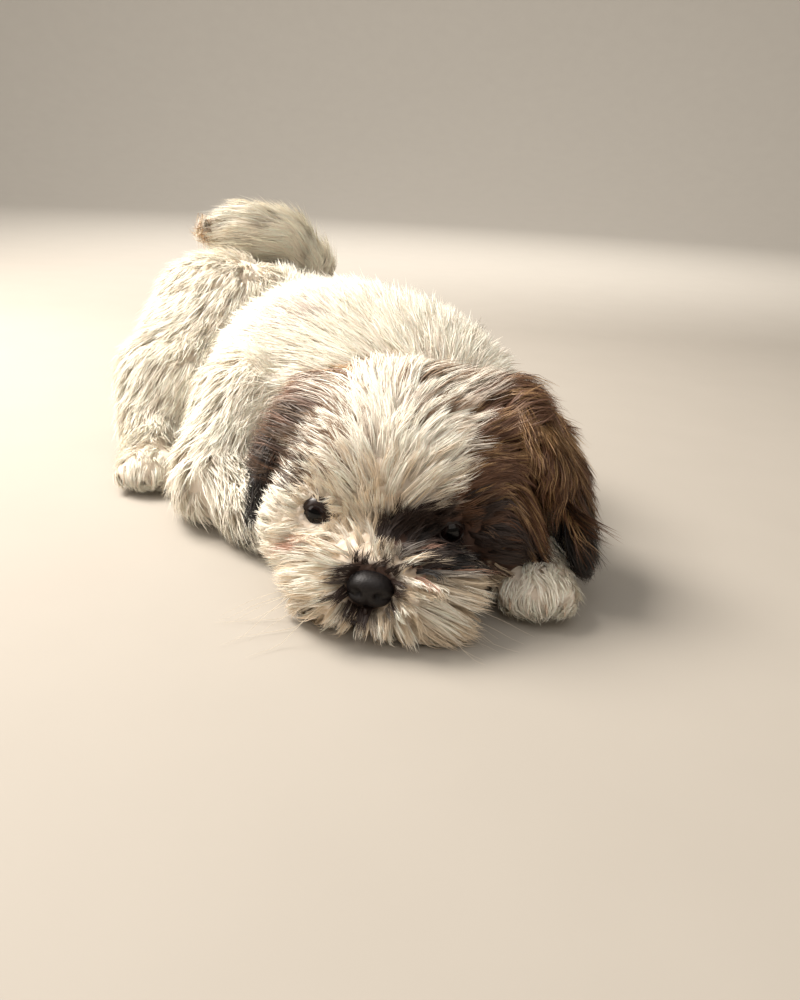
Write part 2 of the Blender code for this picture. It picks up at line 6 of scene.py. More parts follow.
import bpy
import numpy as np
from bpy.props import FloatProperty, FloatVectorProperty, IntProperty, PointerProperty
from bpy.types import Operator, Panel, PropertyGroup
from mathutils import Matrix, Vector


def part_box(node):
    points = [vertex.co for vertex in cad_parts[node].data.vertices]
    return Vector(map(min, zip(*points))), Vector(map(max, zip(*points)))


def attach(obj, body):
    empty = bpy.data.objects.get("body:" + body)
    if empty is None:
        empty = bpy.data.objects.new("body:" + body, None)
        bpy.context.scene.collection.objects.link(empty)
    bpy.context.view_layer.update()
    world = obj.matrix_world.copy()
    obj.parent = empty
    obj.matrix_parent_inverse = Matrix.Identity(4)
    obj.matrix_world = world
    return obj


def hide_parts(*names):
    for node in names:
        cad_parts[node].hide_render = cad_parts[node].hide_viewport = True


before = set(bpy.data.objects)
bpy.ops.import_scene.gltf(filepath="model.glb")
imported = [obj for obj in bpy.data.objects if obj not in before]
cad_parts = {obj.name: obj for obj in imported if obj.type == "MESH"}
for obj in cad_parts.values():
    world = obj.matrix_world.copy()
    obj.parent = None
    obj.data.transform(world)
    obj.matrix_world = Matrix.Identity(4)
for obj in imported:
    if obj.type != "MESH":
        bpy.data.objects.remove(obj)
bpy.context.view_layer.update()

bl_info = {
    "name": "Lying shih tzu puppy",
    "version": (1, 0, 0),
    "blender": (4, 5, 0),
    "location": "3D View > Sidebar > Puppy",
    "description": "A still, life-size shih tzu puppy with its coat as fine mesh locks",
    "category": "Object",
}

# Axes: +X is the dog's left, -Y is the way it faces, +Z is up, in metres. Places are given from the front edge
# of the chin, as in the part's own source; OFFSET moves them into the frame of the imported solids.

SEED = 7

# Head: centres and half sizes, out to the tips of the coat.
NOSE = np.array((-0.001, 0.0055, 0.0190))
HEAD_MASSES = (
    ((0.011, 0.074, 0.0395), (0.057, 0.050, 0.0435)),
    ((0.006, 0.044, 0.044), (0.038, 0.026, 0.027)),
    ((0.004, 0.021, 0.0190), (0.036, 0.021, 0.0200)),
    ((-0.024, 0.047, 0.024), (0.024, 0.027, 0.025)),
    ((0.040, 0.047, 0.026), (0.024, 0.027, 0.025)),
    ((0.004, 0.0140, 0.0068), (0.030, 0.0165, 0.0100)),
    ((-0.0135, 0.0145, 0.0128), (0.0150, 0.0140, 0.0125)),
    ((0.0115, 0.0145, 0.0128), (0.0150, 0.0140, 0.0125)),
)
HEAD_ROLL = math.radians(5)
HEAD_YAW = math.radians(8)
EYE_RIGHT = np.array((-0.0212, 0.0335, 0.0348))
EYE_LEFT = np.array((0.0252, 0.0315, 0.0318))
EYE_RADIUS = 0.0066
LID_WALL = 0.0014
EYE_UNDER = 0.0010
EYE_OPENING = np.array((0.0046, 0.0100, 0.0032))
EYE_SPLAY = 0.30
EYE_LIFT = 0.10
NOSE_SIZE = np.array((0.0082, 0.0062, 0.0062))

# Body, legs and tail, out to the tips of the coat.
TRUNK_MASSES = (
    ((0.002, 0.112, 0.044), (0.056, 0.046, 0.041)),
    ((-0.012, 0.150, 0.043), (0.080, 0.062, 0.0555)),
    ((-0.026, 0.180, 0.044), (0.071, 0.060, 0.0555)),
    ((-0.050, 0.214, 0.042), (0.054, 0.056, 0.049)),
    ((-0.076, 0.248, 0.046), (0.052, 0.048, 0.053)),
)
LEGS = {
    "front_right": ((-0.062, 0.125, 0.040, 0.034), (-0.074, 0.100, 0.019, 0.0215),
                    (-0.050, 0.079, 0.013, 0.0165), (-0.030, 0.059, 0.010, 0.0140)),
    "front_left": ((0.034, 0.128, 0.037, 0.032), (0.060, 0.104, 0.020, 0.0205),
                   (0.064, 0.072, 0.013, 0.0160), (0.062, 0.046, 0.011, 0.0140)),
    "hind_right": ((-0.098, 0.226, 0.056, 0.050), (-0.118, 0.190, 0.034, 0.033),
                   (-0.124, 0.175, 0.018, 0.0205), (-0.120, 0.146, 0.011, 0.0150)),
    "hind_left": ((-0.034, 0.250, 0.046, 0.045), (0.002, 0.226, 0.032, 0.033),
                  (0.018, 0.206, 0.018, 0.0205), (0.030, 0.180, 0.011, 0.0150)),
}
PAWS = {
    "front_right": ((-0.0235, 0.050, 0.009), math.radians(20)),
    "front_left": ((0.061, 0.036, 0.010), math.radians(-5)),
    "hind_right": ((-0.118, 0.136, 0.010), math.radians(8)),
    "hind_left": ((0.035, 0.171, 0.010), math.radians(25)),
}
PAW_SIZE = np.array((0.0150, 0.0185, 0.0105))
TOES = 4
TOE_SIZE = np.array((0.0052, 0.0065, 0.0052))
TOE_STEP = 0.0066
TOE_REACH = 0.0125
TOE_ARC = 0.0016
TOE_DROP = 0.0012
TAIL = ((-0.066, 0.288, 0.066, 0.017), (-0.062, 0.290, 0.092, 0.017), (-0.074, 0.282, 0.107, 0.0185),
        (-0.092, 0.273, 0.1125, 0.0175), (-0.112, 0.265, 0.1135, 0.011))

# Ears: root, tip and the way the outer face looks.
EARS = {
    "ear_right": ((-0.032, 0.094, 0.060), (-0.053, 0.068, 0.008), (-1.0, -0.25, 0.25)),
    "ear_left": ((0.052, 0.082, 0.070), (0.078, 0.043, 0.017), (0.85, -0.35, 0.40)),
}
EAR_WIDTH = 0.024
EAR_DEPTH = 0.0085
EAR_END = 0.0070
EAR_BULGE = 0.006

# Depth of the coat over the skin, and how softly the masses run into each other.
COAT_DEPTH = {"trunk": 0.0080, "head": 0.0052, "leg": 0.0045, "paw": 0.0022, "tail": 0.0080, "ear": 0.0040}
SKIN_BLEND = {"trunk": 0.016, "head": 0.008, "leg": 0.010, "paw": 0.003, "ear": 0.008}
SKIN_VOXEL = 0.0016
FLOOR_CLEAR = 0.0008

NODES_OF_FLESH = ("head", "lower_jaw", "neck", "torso", "tail", "front_right_leg", "front_left_leg",
                  "hind_right_leg", "hind_left_leg", "front_right_paw", "front_left_paw", "hind_right_paw",
                  "hind_left_paw", "ear_right", "ear_left")


def offset_to_frame():
    """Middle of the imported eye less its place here: what moves this script's places into the frame."""
    low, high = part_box("eye_right")
    return (np.array(low) + np.array(high)) / 2 - EYE_RIGHT


OFFSET = offset_to_frame()


def unit(v):
    """Vectors divided by their lengths."""
    return v / np.maximum(np.linalg.norm(v, axis=-1, keepdims=True), 1e-12)


def dot(a, b):
    """Scalar products, row by row, kept as a column."""
    return np.sum(a * b, axis=-1, keepdims=True)


def turned(tilt, roll, yaw):
    """Matrix of a turn about X, then about Y, then about Z."""
    cx, cy, cz = np.cos((tilt, roll, yaw))
    sx, sy, sz = np.sin((tilt, roll, yaw))
    about_x = np.array(((1, 0, 0), (0, cx, -sx), (0, sx, cx)))
    about_y = np.array(((cy, 0, sy), (0, 1, 0), (-sy, 0, cy)))
    about_z = np.array(((cz, -sz, 0), (sz, cz, 0), (0, 0, 1)))
    return about_z @ about_y @ about_x


HEAD_TURN = turned(0.0, HEAD_ROLL, -HEAD_YAW)


def eased(low, high, x):
    """Smooth step: 0 below low, 1 above high, and 3t^2 - 2t^3 between."""
    t = np.clip((x - low) / (high - low), 0.0, 1.0)
    return t * t * (3 - 2 * t)


def rippled(p, size, seed=0):
    """Soft noise between about -1 and 1: the mean of eight sine waves that run different ways, each about
    one size long."""
    rng = np.random.default_rng(seed)
    ways = unit(rng.normal(size=(8, 3))) * (2 * math.pi / size) * rng.uniform(0.6, 1.6, (8, 1))
    return np.sin(p @ ways.T + rng.uniform(0, 2 * math.pi, 8)).mean(axis=-1) * 1.6


# Distances: each is negative inside a form and about the real distance close to its surface.


def ball_distance(p, centre, half, turn=np.eye(3)):
    """Distance from a stretched ball: k (k - 1) / m, with k the length of the offset over the half sizes
    and m that of the offset over their squares."""
    q = (p - np.asarray(centre)) @ turn
    k = np.linalg.norm(q / half, axis=-1)
    m = np.linalg.norm(q / np.square(half), axis=-1)
    return k * (k - 1) / np.maximum(m, 1e-9)


def rod_distance(p, start, end, inset):
    """Distance from a tapering rod: from the nearest point of its middle line, less the radius there."""
    a, b = np.array(start[:3]), np.array(end[:3])
    along = b - a
    mix = np.clip((p - a) @ along / (along @ along), 0, 1)
    radius = start[3] + (end[3] - start[3]) * mix - inset
    return np.linalg.norm(p - a - mix[:, None] * along, axis=-1) - radius


def joined(first, second, blend):
    """Smooth least of two distances: the least less h^2 blend / 4, with h = 1 - |difference| / blend."""
    h = np.clip(1 - np.abs(first - second) / blend, 0, 1)
    return np.minimum(first, second) - h * h * blend / 4


def carved(form, hole, blend):
    """Smooth difference: the form without the hole."""
    return -joined(-form, hole, blend)


def ear_axes(ear):
    """Root, length and the ear's own axes: across, along and out of its outer face."""
    root, tip, outward = (np.array(v) for v in ear)
    length = np.linalg.norm(tip - root)
    along = (tip - root) / length
    normal = unit(outward - along * (outward @ along))
    return root, length, np.cross(normal, along), along, normal


def ear_halves(s):
    """Half sizes of an ear's leaf at each share s of its length: it is W (0.62 + 0.38 sin(pi (1.25 s + 0.1)))
    (1 - 0.3 s^2) across, and thins by 0.3 s."""
    wide = EAR_WIDTH * (0.62 + 0.38 * np.sin(math.pi * np.minimum(1, s * 1.25 + 0.1))) * (1 - 0.3 * s * s)
    return np.stack([wide, np.full_like(s, EAR_END), EAR_DEPTH * (1 - 0.3 * s)], -1)


def ear_distance(p, ear, inset):
    """Distance from a hanging leaf: ellipses of ear_halves along its length, bowed outward by B sin(pi s)."""
    root, length, across, along, normal = ear_axes(ear)
    q = p - root
    s = np.clip(q @ along / length, 0, 1)
    half = ear_halves(s) - inset
    bowed = q - s[:, None] * length * along - (EAR_BULGE * np.sin(math.pi * s))[:, None] * normal
    local = np.stack([bowed @ across, bowed @ along, bowed @ normal], -1)
    k = np.linalg.norm(local / half, axis=-1)
    m = np.linalg.norm(local / np.square(half), axis=-1)
    return k * (k - 1) / np.maximum(m, 1e-9)


def gaze(side):
    """Matrix whose columns are an eye's right, ahead and up."""
    ahead = unit(np.array((side * EYE_SPLAY, -1.0, EYE_LIFT)))
    right = unit(np.cross(ahead, (0, 0, 1.0)))
    return np.stack([right, ahead, np.cross(right, ahead)], 1)


def opening_distance(p, eye, side):
    """Distance from the almond opening of the lids: a stretched ball ahead of the eye."""
    axes = gaze(side)
    return ball_distance(p, eye + axes[:, 1] * EYE_RADIUS, EYE_OPENING, axes)


def head_distance(p):
    """Distance from the head's skin: its masses with a ball of flesh round each eye, opened in front down
    to just under the eye's surface."""
    found = np.full(len(p), 1.0)
    for centre, half in HEAD_MASSES:
        inset = np.array(half) - COAT_DEPTH["head"]
        found = joined(found, ball_distance(p, centre, inset, HEAD_TURN), SKIN_BLEND["head"])
    for eye, side in ((EYE_RIGHT, -1), (EYE_LEFT, 1)):
        away = np.linalg.norm(p - eye, axis=-1)
        found = joined(found, away - EYE_RADIUS - LID_WALL, 0.004)
        hole = np.maximum(opening_distance(p, eye, side), EYE_RADIUS - EYE_UNDER - away)
        found = carved(found, hole, 0.0006)
    return found


def trunk_distance(p):
    """Distance from the trunk's skin."""
    found = np.full(len(p), 1.0)
    for centre, half in TRUNK_MASSES:
        inset = np.array(half) - COAT_DEPTH["trunk"]
        found = joined(found, ball_distance(p, centre, inset), SKIN_BLEND["trunk"])
    return found


def chain_distance(p, stations, inset, blend):
    """Distance from a chain of tapering rods."""
    found = np.full(len(p), 1.0)
    for start, end in zip(stations, stations[1:]):
        found = joined(found, rod_distance(p, start, end, inset), blend)
    return found


def toe_places(paw):
    """Middles of the toes of one foot: side by side, with the outer ones a little further back."""
    centre, heading = paw
    aside = np.arange(TOES) - (TOES - 1) / 2
    local = np.stack([aside * TOE_STEP, -TOE_REACH + np.abs(aside) * TOE_ARC,
                      np.full(TOES, -TOE_DROP)], -1)
    return np.array(centre) + local @ turned(0, 0, heading).T


def paw_distance(p, paw):
    """Distance from a foot's skin: its pad with the toes in front."""
    turn = turned(0, 0, paw[1])
    inset = COAT_DEPTH["paw"]
    found = ball_distance(p, paw[0], PAW_SIZE - inset, turn)
    for toe in toe_places(paw):
        found = joined(found, ball_distance(p, toe, TOE_SIZE - inset / 2, turn), SKIN_BLEND["paw"])
    return found


REGIONS = ("head", "ear_right", "ear_left", "trunk", "tail", *LEGS)


def region_distances(p):
    """Distance of every point from the skin of each region, one column a region."""
    columns = [head_distance(p)]
    columns += [ear_distance(p, ear, COAT_DEPTH["ear"]) for ear in EARS.values()]
    columns += [trunk_distance(p), chain_distance(p, TAIL, COAT_DEPTH["tail"], SKIN_BLEND["leg"])]
    for name, stations in LEGS.items():
        leg = chain_distance(p, stations, COAT_DEPTH["leg"], SKIN_BLEND["leg"])
        columns.append(joined(leg, paw_distance(p, PAWS[name]), SKIN_BLEND["paw"]))
    return np.stack(columns, -1)


def skin_distance(p):
    """Distance from the whole skin: all regions run into each other, the ears with a tighter fold."""
    columns = region_distances(p)
    body = columns[:, REGIONS.index("trunk")]
    for k in range(REGIONS.index("tail"), len(REGIONS)):
        body = joined(body, columns[:, k], SKIN_BLEND["leg"])
    found = joined(columns[:, 0], body, SKIN_BLEND["head"])
    for k in (REGIONS.index("ear_right"), REGIONS.index("ear_left")):
        found = joined(found, columns[:, k], SKIN_BLEND["ear"])
    return found


CORNERS = np.array(((1, -1, -1), (-1, -1, 1), (-1, 1, -1), (1, 1, 1)), float)


def slope(distance, p, step=0.0005):
    """The way in which a distance grows fastest, from its values at the corners of a small tetrahedron."""
    return unit(sum(corner * distance(p + corner * step)[:, None] for corner in CORNERS))


# Meshes


def unit_ball(segments, rings):
    """Points of a ball of radius 1 on a grid of turn and tilt, closed at both poles, and its triangles."""
    tilt, turn = np.meshgrid(np.linspace(0, math.pi, rings + 1)[1:-1],
                             np.arange(segments) * 2 * math.pi / segments, indexing="ij")
    ring = np.stack([np.sin(tilt) * np.cos(turn), np.sin(tilt) * np.sin(turn), np.cos(tilt)], -1)
    points = np.vstack([[(0, 0, 1)], ring.reshape(-1, 3), [(0, 0, -1)]])
    i, j = np.meshgrid(np.arange(rings - 2), np.arange(segments), indexing="ij")
    a = 1 + i * segments + j
    b = 1 + i * segments + (j + 1) % segments
    wall = np.stack([a, a + segments, b + segments, a, b + segments, b], -1).reshape(-1, 3)
    around = np.arange(segments)
    after = (around + 1) % segments
    last = 1 + (rings - 2) * segments
    top = np.stack([np.zeros_like(around), 1 + around, 1 + after], -1)
    bottom = np.stack([np.full_like(around, len(points) - 1), last + after, last + around], -1)
    return points, np.vstack([top, wall, bottom])


def swept(path, ups, radii, sides):
    """A profile of a few sides carried along each path: points for N paths of K stations, closed at both
    ends by a fan. The radii shrink it from root to tip."""
    count, stations, _ = path.shape
    along = unit(np.gradient(path, axis=1))
    side = unit(np.cross(along, ups))
    up = np.cross(side, along)
    turn = np.arange(sides) * 2 * math.pi / sides
    ring = (side[:, :, None] * np.cos(turn)[:, None] + up[:, :, None] * np.sin(turn)[:, None])
    tube = path[:, :, None] + ring * radii[:, :, None, None]
    points = np.concatenate([tube.reshape(count, -1, 3), path[:, :1], path[:, -1:]], axis=1)
    k, s = np.meshgrid(np.arange(stations - 1), np.arange(sides), indexing="ij")
    a = k * sides + s
    b = k * sides + (s + 1) % sides
    wall = np.stack([a, b, b + sides, a, b + sides, a + sides], -1).reshape(-1, 3)
    s = np.arange(sides)
    after = (s + 1) % sides
    root = np.stack([np.full(sides, stations * sides), after, s], -1)
    tip = np.stack([np.full(sides, stations * sides + 1), s + (stations - 1) * sides,
                    after + (stations - 1) * sides], -1)
    one = np.vstack([wall, root, tip])
    faces = (one + (np.arange(count) * points.shape[1])[:, None, None]).reshape(-1, 3)
    return points.reshape(-1, 3), faces


def mesh_of(name, points, faces):
    """A mesh from arrays of points and of faces that all have the same number of corners."""
    mesh = bpy.data.meshes.new(name)
    mesh.vertices.add(len(points))
    mesh.vertices.foreach_set("co", np.asarray(points, np.float32).ravel())
    mesh.loops.add(faces.size)
    mesh.loops.foreach_set("vertex_index", faces.astype(np.int32).ravel())
    mesh.polygons.add(len(faces))
    mesh.polygons.foreach_set("loop_start", np.arange(0, faces.size, faces.shape[1], dtype=np.int32))
    mesh.polygons.foreach_set("use_smooth", np.ones(len(faces), bool))
    mesh.update(calc_edges=True)
    return mesh


def piece_of(name, points, faces, material, nodes=(), colours=None, places=None):
    """A finished piece: its mesh in the frame, with point colours and a bake map where given, riding on
    the one body, and standing for the nodes named."""
    mesh = mesh_of(name, points + OFFSET, faces)
    if colours is not None:
        layer = mesh.color_attributes.new(COLOUR_NAME, "FLOAT_COLOR", "POINT")
        rgba = np.concatenate([colours, np.ones((len(colours), 1))], axis=1)
        layer.data.foreach_set("color", rgba.astype(np.float32).ravel())
    if places is not None:
        layer = mesh.uv_layers.new(name="OFBake")
        layer.data.foreach_set("uv", places[faces.ravel()].astype(np.float32).ravel())
    mesh.materials.append(material)
    piece = bpy.data.objects.new(name, mesh)
    bpy.context.scene.collection.objects.link(piece)
    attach(piece, "root")
    if nodes:
        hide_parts(*nodes)
    return piece


COLOUR_NAME = "coat_colour"


# Materials


def linear(code):
    """An sRGB hex colour such as "#8A5A30" as linear red, green and blue."""
    share = np.array([int(code[i:i + 2], 16) for i in (1, 3, 5)]) / 255
    return np.where(share <= 0.04045, share / 12.92, ((share + 0.055) / 1.055) ** 2.4)


def add(tree, kind, links=(), **settings):
    """Adds a node, gives its properties or input values, and links (its input, from node, output)."""
    node = tree.nodes.new(kind)
    for key, value in settings.items():
        if hasattr(node, key):
            setattr(node, key, value)
        else:
            node.inputs[key.replace("_", " ")].default_value = value
    for socket, source, output in links:
        tree.links.new(source.outputs[output], node.inputs[socket])
    return node


def blank(name):
    """A new material with only its output."""
    material = bpy.data.materials.new(name)
    material.use_nodes = True
    material.node_tree.nodes.clear()
    return material, material.node_tree


def finish(tree, shader):
    """Leads the shader to the output."""
    add(tree, "ShaderNodeOutputMaterial", [("Surface", shader, 0)])


def hair_material(name, roughness):
    """Dog's hair, keratin, grown: a satin fibre whose colour is carried by each lock, with fine streaks
    2 mm long that keep the locks from looking moulded."""
    material, tree = blank(name)
    colour = add(tree, "ShaderNodeAttribute", attribute_name=COLOUR_NAME)
    place = add(tree, "ShaderNodeTexCoord")
    streak = add(tree, "ShaderNodeTexNoise", [("Vector", place, "Object")], Scale=1 / 0.002, Detail=2.0)
    share = add(tree, "ShaderNodeMapRange", [("Value", streak, 0)], To_Min=0.86, To_Max=1.10)
    shade = add(tree, "ShaderNodeVectorMath", [(0, colour, "Color"), ("Scale", share, 0)], operation="SCALE")
    shader = add(tree, "ShaderNodeBsdfPrincipled", [("Base Color", shade, 0)], Roughness=roughness, IOR=1.55)
    finish(tree, shader)
    return material


def skin_material():
    """Living skin under hair, dull: shows only between locks and round the eyes, with pores 0.6 mm apart."""
    material, tree = blank("bare_skin")
    colour = add(tree, "ShaderNodeAttribute", attribute_name=COLOUR_NAME)
    place = add(tree, "ShaderNodeTexCoord")
    pores = add(tree, "ShaderNodeTexNoise", [("Vector", place, "Object")], Scale=1 / 0.0006, Detail=2.0)
    bump = add(tree, "ShaderNodeBump", [("Height", pores, 0)], Strength=0.3, Distance=0.0002)
    shader = add(tree, "ShaderNodeBsdfPrincipled", [("Base Color", colour, "Color"), ("Normal", bump, 0)],
                 Roughness=0.65, IOR=1.40)
    finish(tree, shader)
    return material


# Markings and one painted highlight: stretched balls of colour, each as its middle, half sizes, colour,
# softness of its border and the share of locks inside that take it. Borders are ragged by a few millimetres,
# later balls lie on top.

HAIR = {"white": "#FFF4E4", "cream": "#EBD9BF", "taupe": "#8F745A", "brown": "#6E4A31", "dark": "#33231B",
        "tan": "#B08A5E", "black": "#191310", "flush": "#C79A84", "grey": "#CFC2B6", "soot": "#54402F"}
HEAD_MARKS_AND_HIGHLIGHT = (
    ((0.000, 0.016, 0.016), (0.040, 0.030, 0.024), "cream", 0.006, 0.45),
    ((0.006, 0.030, 0.040), (0.034, 0.024, 0.018), "cream", 0.006, 0.25),
    ((0.058, 0.048, 0.040), (0.038, 0.062, 0.048), "brown", 0.002, 1.0),
    ((0.056, 0.078, 0.066), (0.046, 0.034, 0.030), "brown", 0.002, 0.97),
    ((0.052, 0.050, 0.052), (0.030, 0.036, 0.026), "tan", 0.006, 0.28),
    # Painted highlight: tan on the top edge at the root of the left ear, where the light falls on it.
    ((0.062, 0.074, 0.068), (0.020, 0.018, 0.014), "tan", 0.004, 0.65),
    ((0.058, 0.036, 0.024), (0.028, 0.032, 0.020), "dark", 0.004, 0.75),
    ((0.0085, 0.014, 0.0338), (0.0092, 0.014, 0.0056), "dark", 0.0012, 1.0),
    ((0.0200, 0.014, 0.0338), (0.0125, 0.018, 0.0095), "dark", 0.0015, 1.0),
    ((0.0355, 0.021, 0.0335), (0.0140, 0.024, 0.0115), "dark", 0.003, 0.75),
    ((0.0240, 0.016, 0.0300), (0.0110, 0.016, 0.0080), "black", 0.002, 0.60),
    ((0.080, 0.046, 0.020), (0.024, 0.028, 0.028), "black", 0.006, 0.85),
    ((0.034, 0.012, 0.011), (0.019, 0.022, 0.0125), "cream", 0.002, 1.0),
    ((-0.030, 0.086, 0.070), (0.034, 0.034, 0.022), "brown", 0.003, 0.92),
    ((-0.026, 0.086, 0.078), (0.030, 0.028, 0.014), "tan", 0.004, 0.50),
    ((-0.056, 0.078, 0.055), (0.043, 0.040, 0.032), "brown", 0.003, 0.88),
    ((-0.056, 0.072, 0.038), (0.030, 0.030, 0.034), "dark", 0.004, 0.80),
    ((-0.056, 0.066, 0.018), (0.024, 0.027, 0.032), "black", 0.005, 0.95),
    ((-0.020, 0.042, 0.058), (0.018, 0.022, 0.016), "taupe", 0.004, 0.40),
    ((-0.030, 0.050, 0.050), (0.014, 0.020, 0.018), "soot", 0.004, 0.35),
    ((0.016, 0.052, 0.076), (0.013, 0.020, 0.013), "taupe", 0.004, 0.45),
    ((-0.0090, 0.0080, 0.0325), (0.0026, 0.0040, 0.0028), "dark", 0.001, 0.60),
    ((-0.026, 0.016, 0.0290), (0.0085, 0.009, 0.0060), "flush", 0.002, 0.45),
    ((0.019, 0.006, 0.0255), (0.0080, 0.009, 0.0030), "flush", 0.002, 0.20),
    ((-0.001, 0.0055, 0.0199), (0.0102, 0.0088, 0.0083), "dark", 0.0010, 1.0),
)
BODY_COLOURS = (
    # A share of the hair on the back behind the head is grey.
    ((-0.043, 0.132, 0.0885), (0.024, 0.022, 0.012), "grey", 0.004, 0.45),
    ((-0.106, 0.264, 0.110), (0.013, 0.014, 0.012), "tan", 0.004, 0.55),
)


RAGGED_SIZE = 0.012
RAGGED_DEPTH = 0.0022


def marks_and_painted_light(p, marks_and_highlight, rng):
    """Colour of the hair rooted at each point, white where none of the balls reaches."""
    ragged = rippled(p, RAGGED_SIZE, 3) * RAGGED_DEPTH
    hair = {name: np.array(getattr(bpy.context.scene.puppy_coat, name)) for name in HAIR}
    colours = np.tile(hair["white"], (len(p), 1))
    for centre, half, name, soft, part in marks_and_highlight:
        away = ball_distance(p, centre, np.array(half)) + ragged + rng.normal(size=len(p)) * soft * 0.6
        share = ((1 - eased(-soft, soft, away)) * (rng.random(len(p)) < part))[:, None]
        colours = colours * (1 - share) + hair[name] * share
    return colours


# Skin


def flesh_balls():
    """Every mass as (centre, half sizes, turn), inside the coat."""
    upright = np.eye(3)
    yield from ((c, np.array(h) - COAT_DEPTH["head"], HEAD_TURN) for c, h in HEAD_MASSES)
    yield from ((c, np.array(h) - COAT_DEPTH["trunk"], upright) for c, h in TRUNK_MASSES)
    chains = [(leg, COAT_DEPTH["leg"]) for leg in LEGS.values()] + [(TAIL, COAT_DEPTH["tail"])]
    for stations, inset in chains:
        for start, end in zip(stations, stations[1:]):
            for mix in np.linspace(0, 1, 6):
                x, y, z, radius = np.array(start) * (1 - mix) + np.array(end) * mix
                yield (x, y, z), np.full(3, radius - inset), upright
    for paw in PAWS.values():
        turn = turned(0, 0, paw[1])
        yield paw[0], PAW_SIZE - COAT_DEPTH["paw"], turn
        yield from ((toe, TOE_SIZE - COAT_DEPTH["paw"] / 2, turn) for toe in toe_places(paw))
    for ear in EARS.values():
        root, length, across, along, normal = ear_axes(ear)
        for s in np.linspace(0, 1, 14):
            middle = root + along * length * s + normal * EAR_BULGE * math.sin(math.pi * s)
            yield middle, ear_halves(s) - COAT_DEPTH["ear"], np.stack([across, along, normal], 1)


@functools.cache
def skin_shape():
    """Points and triangles of the skin: the masses are melted into one closed form by a voxel remesh, and
    its points are then moved along the slope of skin_distance until that is zero."""
    ball, triangles = unit_ball(32, 20)
    balls = [ball * half @ turn.T + np.asarray(centre) for centre, half, turn in flesh_balls()]
    faces = np.concatenate([triangles + k * len(ball) for k in range(len(balls))])
    source = bpy.data.objects.new("skin_source", mesh_of("skin_source", np.concatenate(balls), faces))
    bpy.context.scene.collection.objects.link(source)
    melt = source.modifiers.new("melt", "REMESH")
    melt.mode = "VOXEL"
    melt.voxel_size = SKIN_VOXEL
    made = source.evaluated_get(bpy.context.evaluated_depsgraph_get()).to_mesh()
    points = np.empty(len(made.vertices) * 3, np.float32)
    made.vertices.foreach_get("co", points)
    corners = np.empty(len(made.loops), np.int32)
    made.loops.foreach_get("vertex_index", corners)
    quads = corners.reshape(-1, 4)
    bpy.data.objects.remove(source)
    points = points.reshape(-1, 3).astype(float)
    for _ in range(4):
        away = np.clip(skin_distance(points), -0.002, 0.002)
        points -= slope(skin_distance, points) * away[:, None]
    points[:, 2] = np.maximum(points[:, 2], FLOOR_CLEAR)
    return points, np.concatenate([quads[:, [0, 1, 2]], quads[:, [0, 2, 3]]])


# Coat


class Coat:
    """One kind of coat, in metres: how far apart its locks stand, hairs in a lock, how wide the lock is at
    its root, length and width of a hair, height of its tip over the skin, how it climbs there (a power of
    its length), how stiffly it leaves the surface, how far the lock closes at its tip, how much it sways,
    the segments of a hair, the part of the locks that lead a tuft, and how far the others lean to them."""

    def __init__(self, spacing, hairs, spread, length, width, rise, climb, stiff, close, sway, segments,
                 leading, pull):
        self.spacing = spacing
        self.hairs = hairs
        self.spread = spread
        self.length = length
        self.width = width
        self.rise = rise
        self.climb = climb
        self.stiff = stiff
        self.close = close
        self.sway = sway
        self.segments = segments
        self.leading = leading
        self.pull = pull


COATS = {
    "trunk": Coat(0.0031, 17, 0.0036, 0.019, 0.00050, 0.0067, 0.75, 0.08, 0.25, 0.14, 3, 0.10, 0.12),
    "leg": Coat(0.0030, 15, 0.0030, 0.014, 0.00046, 0.0052, 0.75, 0.10, 0.30, 0.14, 3, 0.10, 0.12),
    "paw": Coat(0.0024, 11, 0.0017, 0.0105, 0.00032, 0.0040, 0.80, 0.30, 0.60, 0.30, 3, 0.14, 0.50),
    "tail": Coat(0.0030, 16, 0.0030, 0.028, 0.00048, 0.0090, 0.80, 0.45, 0.40, 0.18, 3, 0.12, 0.25),
    "crown": Coat(0.0028, 16, 0.0026, 0.030, 0.00034, 0.0068, 0.70, 0.16, 0.55, 0.18, 4, 0.12, 0.40),
    "face": Coat(0.0022, 13, 0.0017, 0.015, 0.00028, 0.0046, 0.75, 0.20, 0.60, 0.18, 4, 0.14, 0.45),
    "muzzle": Coat(0.0020, 14, 0.0015, 0.0180, 0.00026, 0.0085, 0.70, 0.55, 0.65, 0.18, 4, 0.16, 0.50),
    "ear": Coat(0.0026, 16, 0.0025, 0.021, 0.00034, 0.0055, 0.80, 0.30, 0.55, 0.18, 4, 0.12, 0.45),
}
MUZZLE_REACH = 0.030
MUZZLE_TOP = 0.007
BROW_LIMIT = 0.052
FACE_MIDDLE = 0.002
EAR_FOLD = 0.012
NOSE_BARE = 0.93
NEAR_FLOOR = 0.003

# How the hair of the head turns: to the sides over the brow, down everywhere, away from the eyes.
BROW_HEIGHTS = (0.036, 0.062)
BROW_SPAN = 0.030
BROW_LIE = np.array((0.9, 0, 0))
HEAD_FALL = np.array((0, 0, -0.22))
EYE_TURN = (0.008, 0.019)
EYE_PUSH = 1.6

# The tuft at the root of the left ear, and the hair that hangs between the left cheek and that ear.
TUFT = np.array((0.052, 0.078, 0.074))
TUFT_REACH = (0.006, 0.018)
TUFT_LIE = np.array((2.6, 0.2, 1.0))
TUFT_STIFF = 0.6
TUFT_LONGER = 0.5
CURTAIN = np.array((0.058, 0.044, 0.036))
CURTAIN_REACH = (0.010, 0.022)
CURTAIN_LENGTH = 0.030
CURTAIN_STIFF = 0.95
CURTAIN_LIE_HEAD = np.array((0.2, -0.8, -4.0))
CURTAIN_LIE_EAR = np.array((-0.6, -0.8, -2.0))

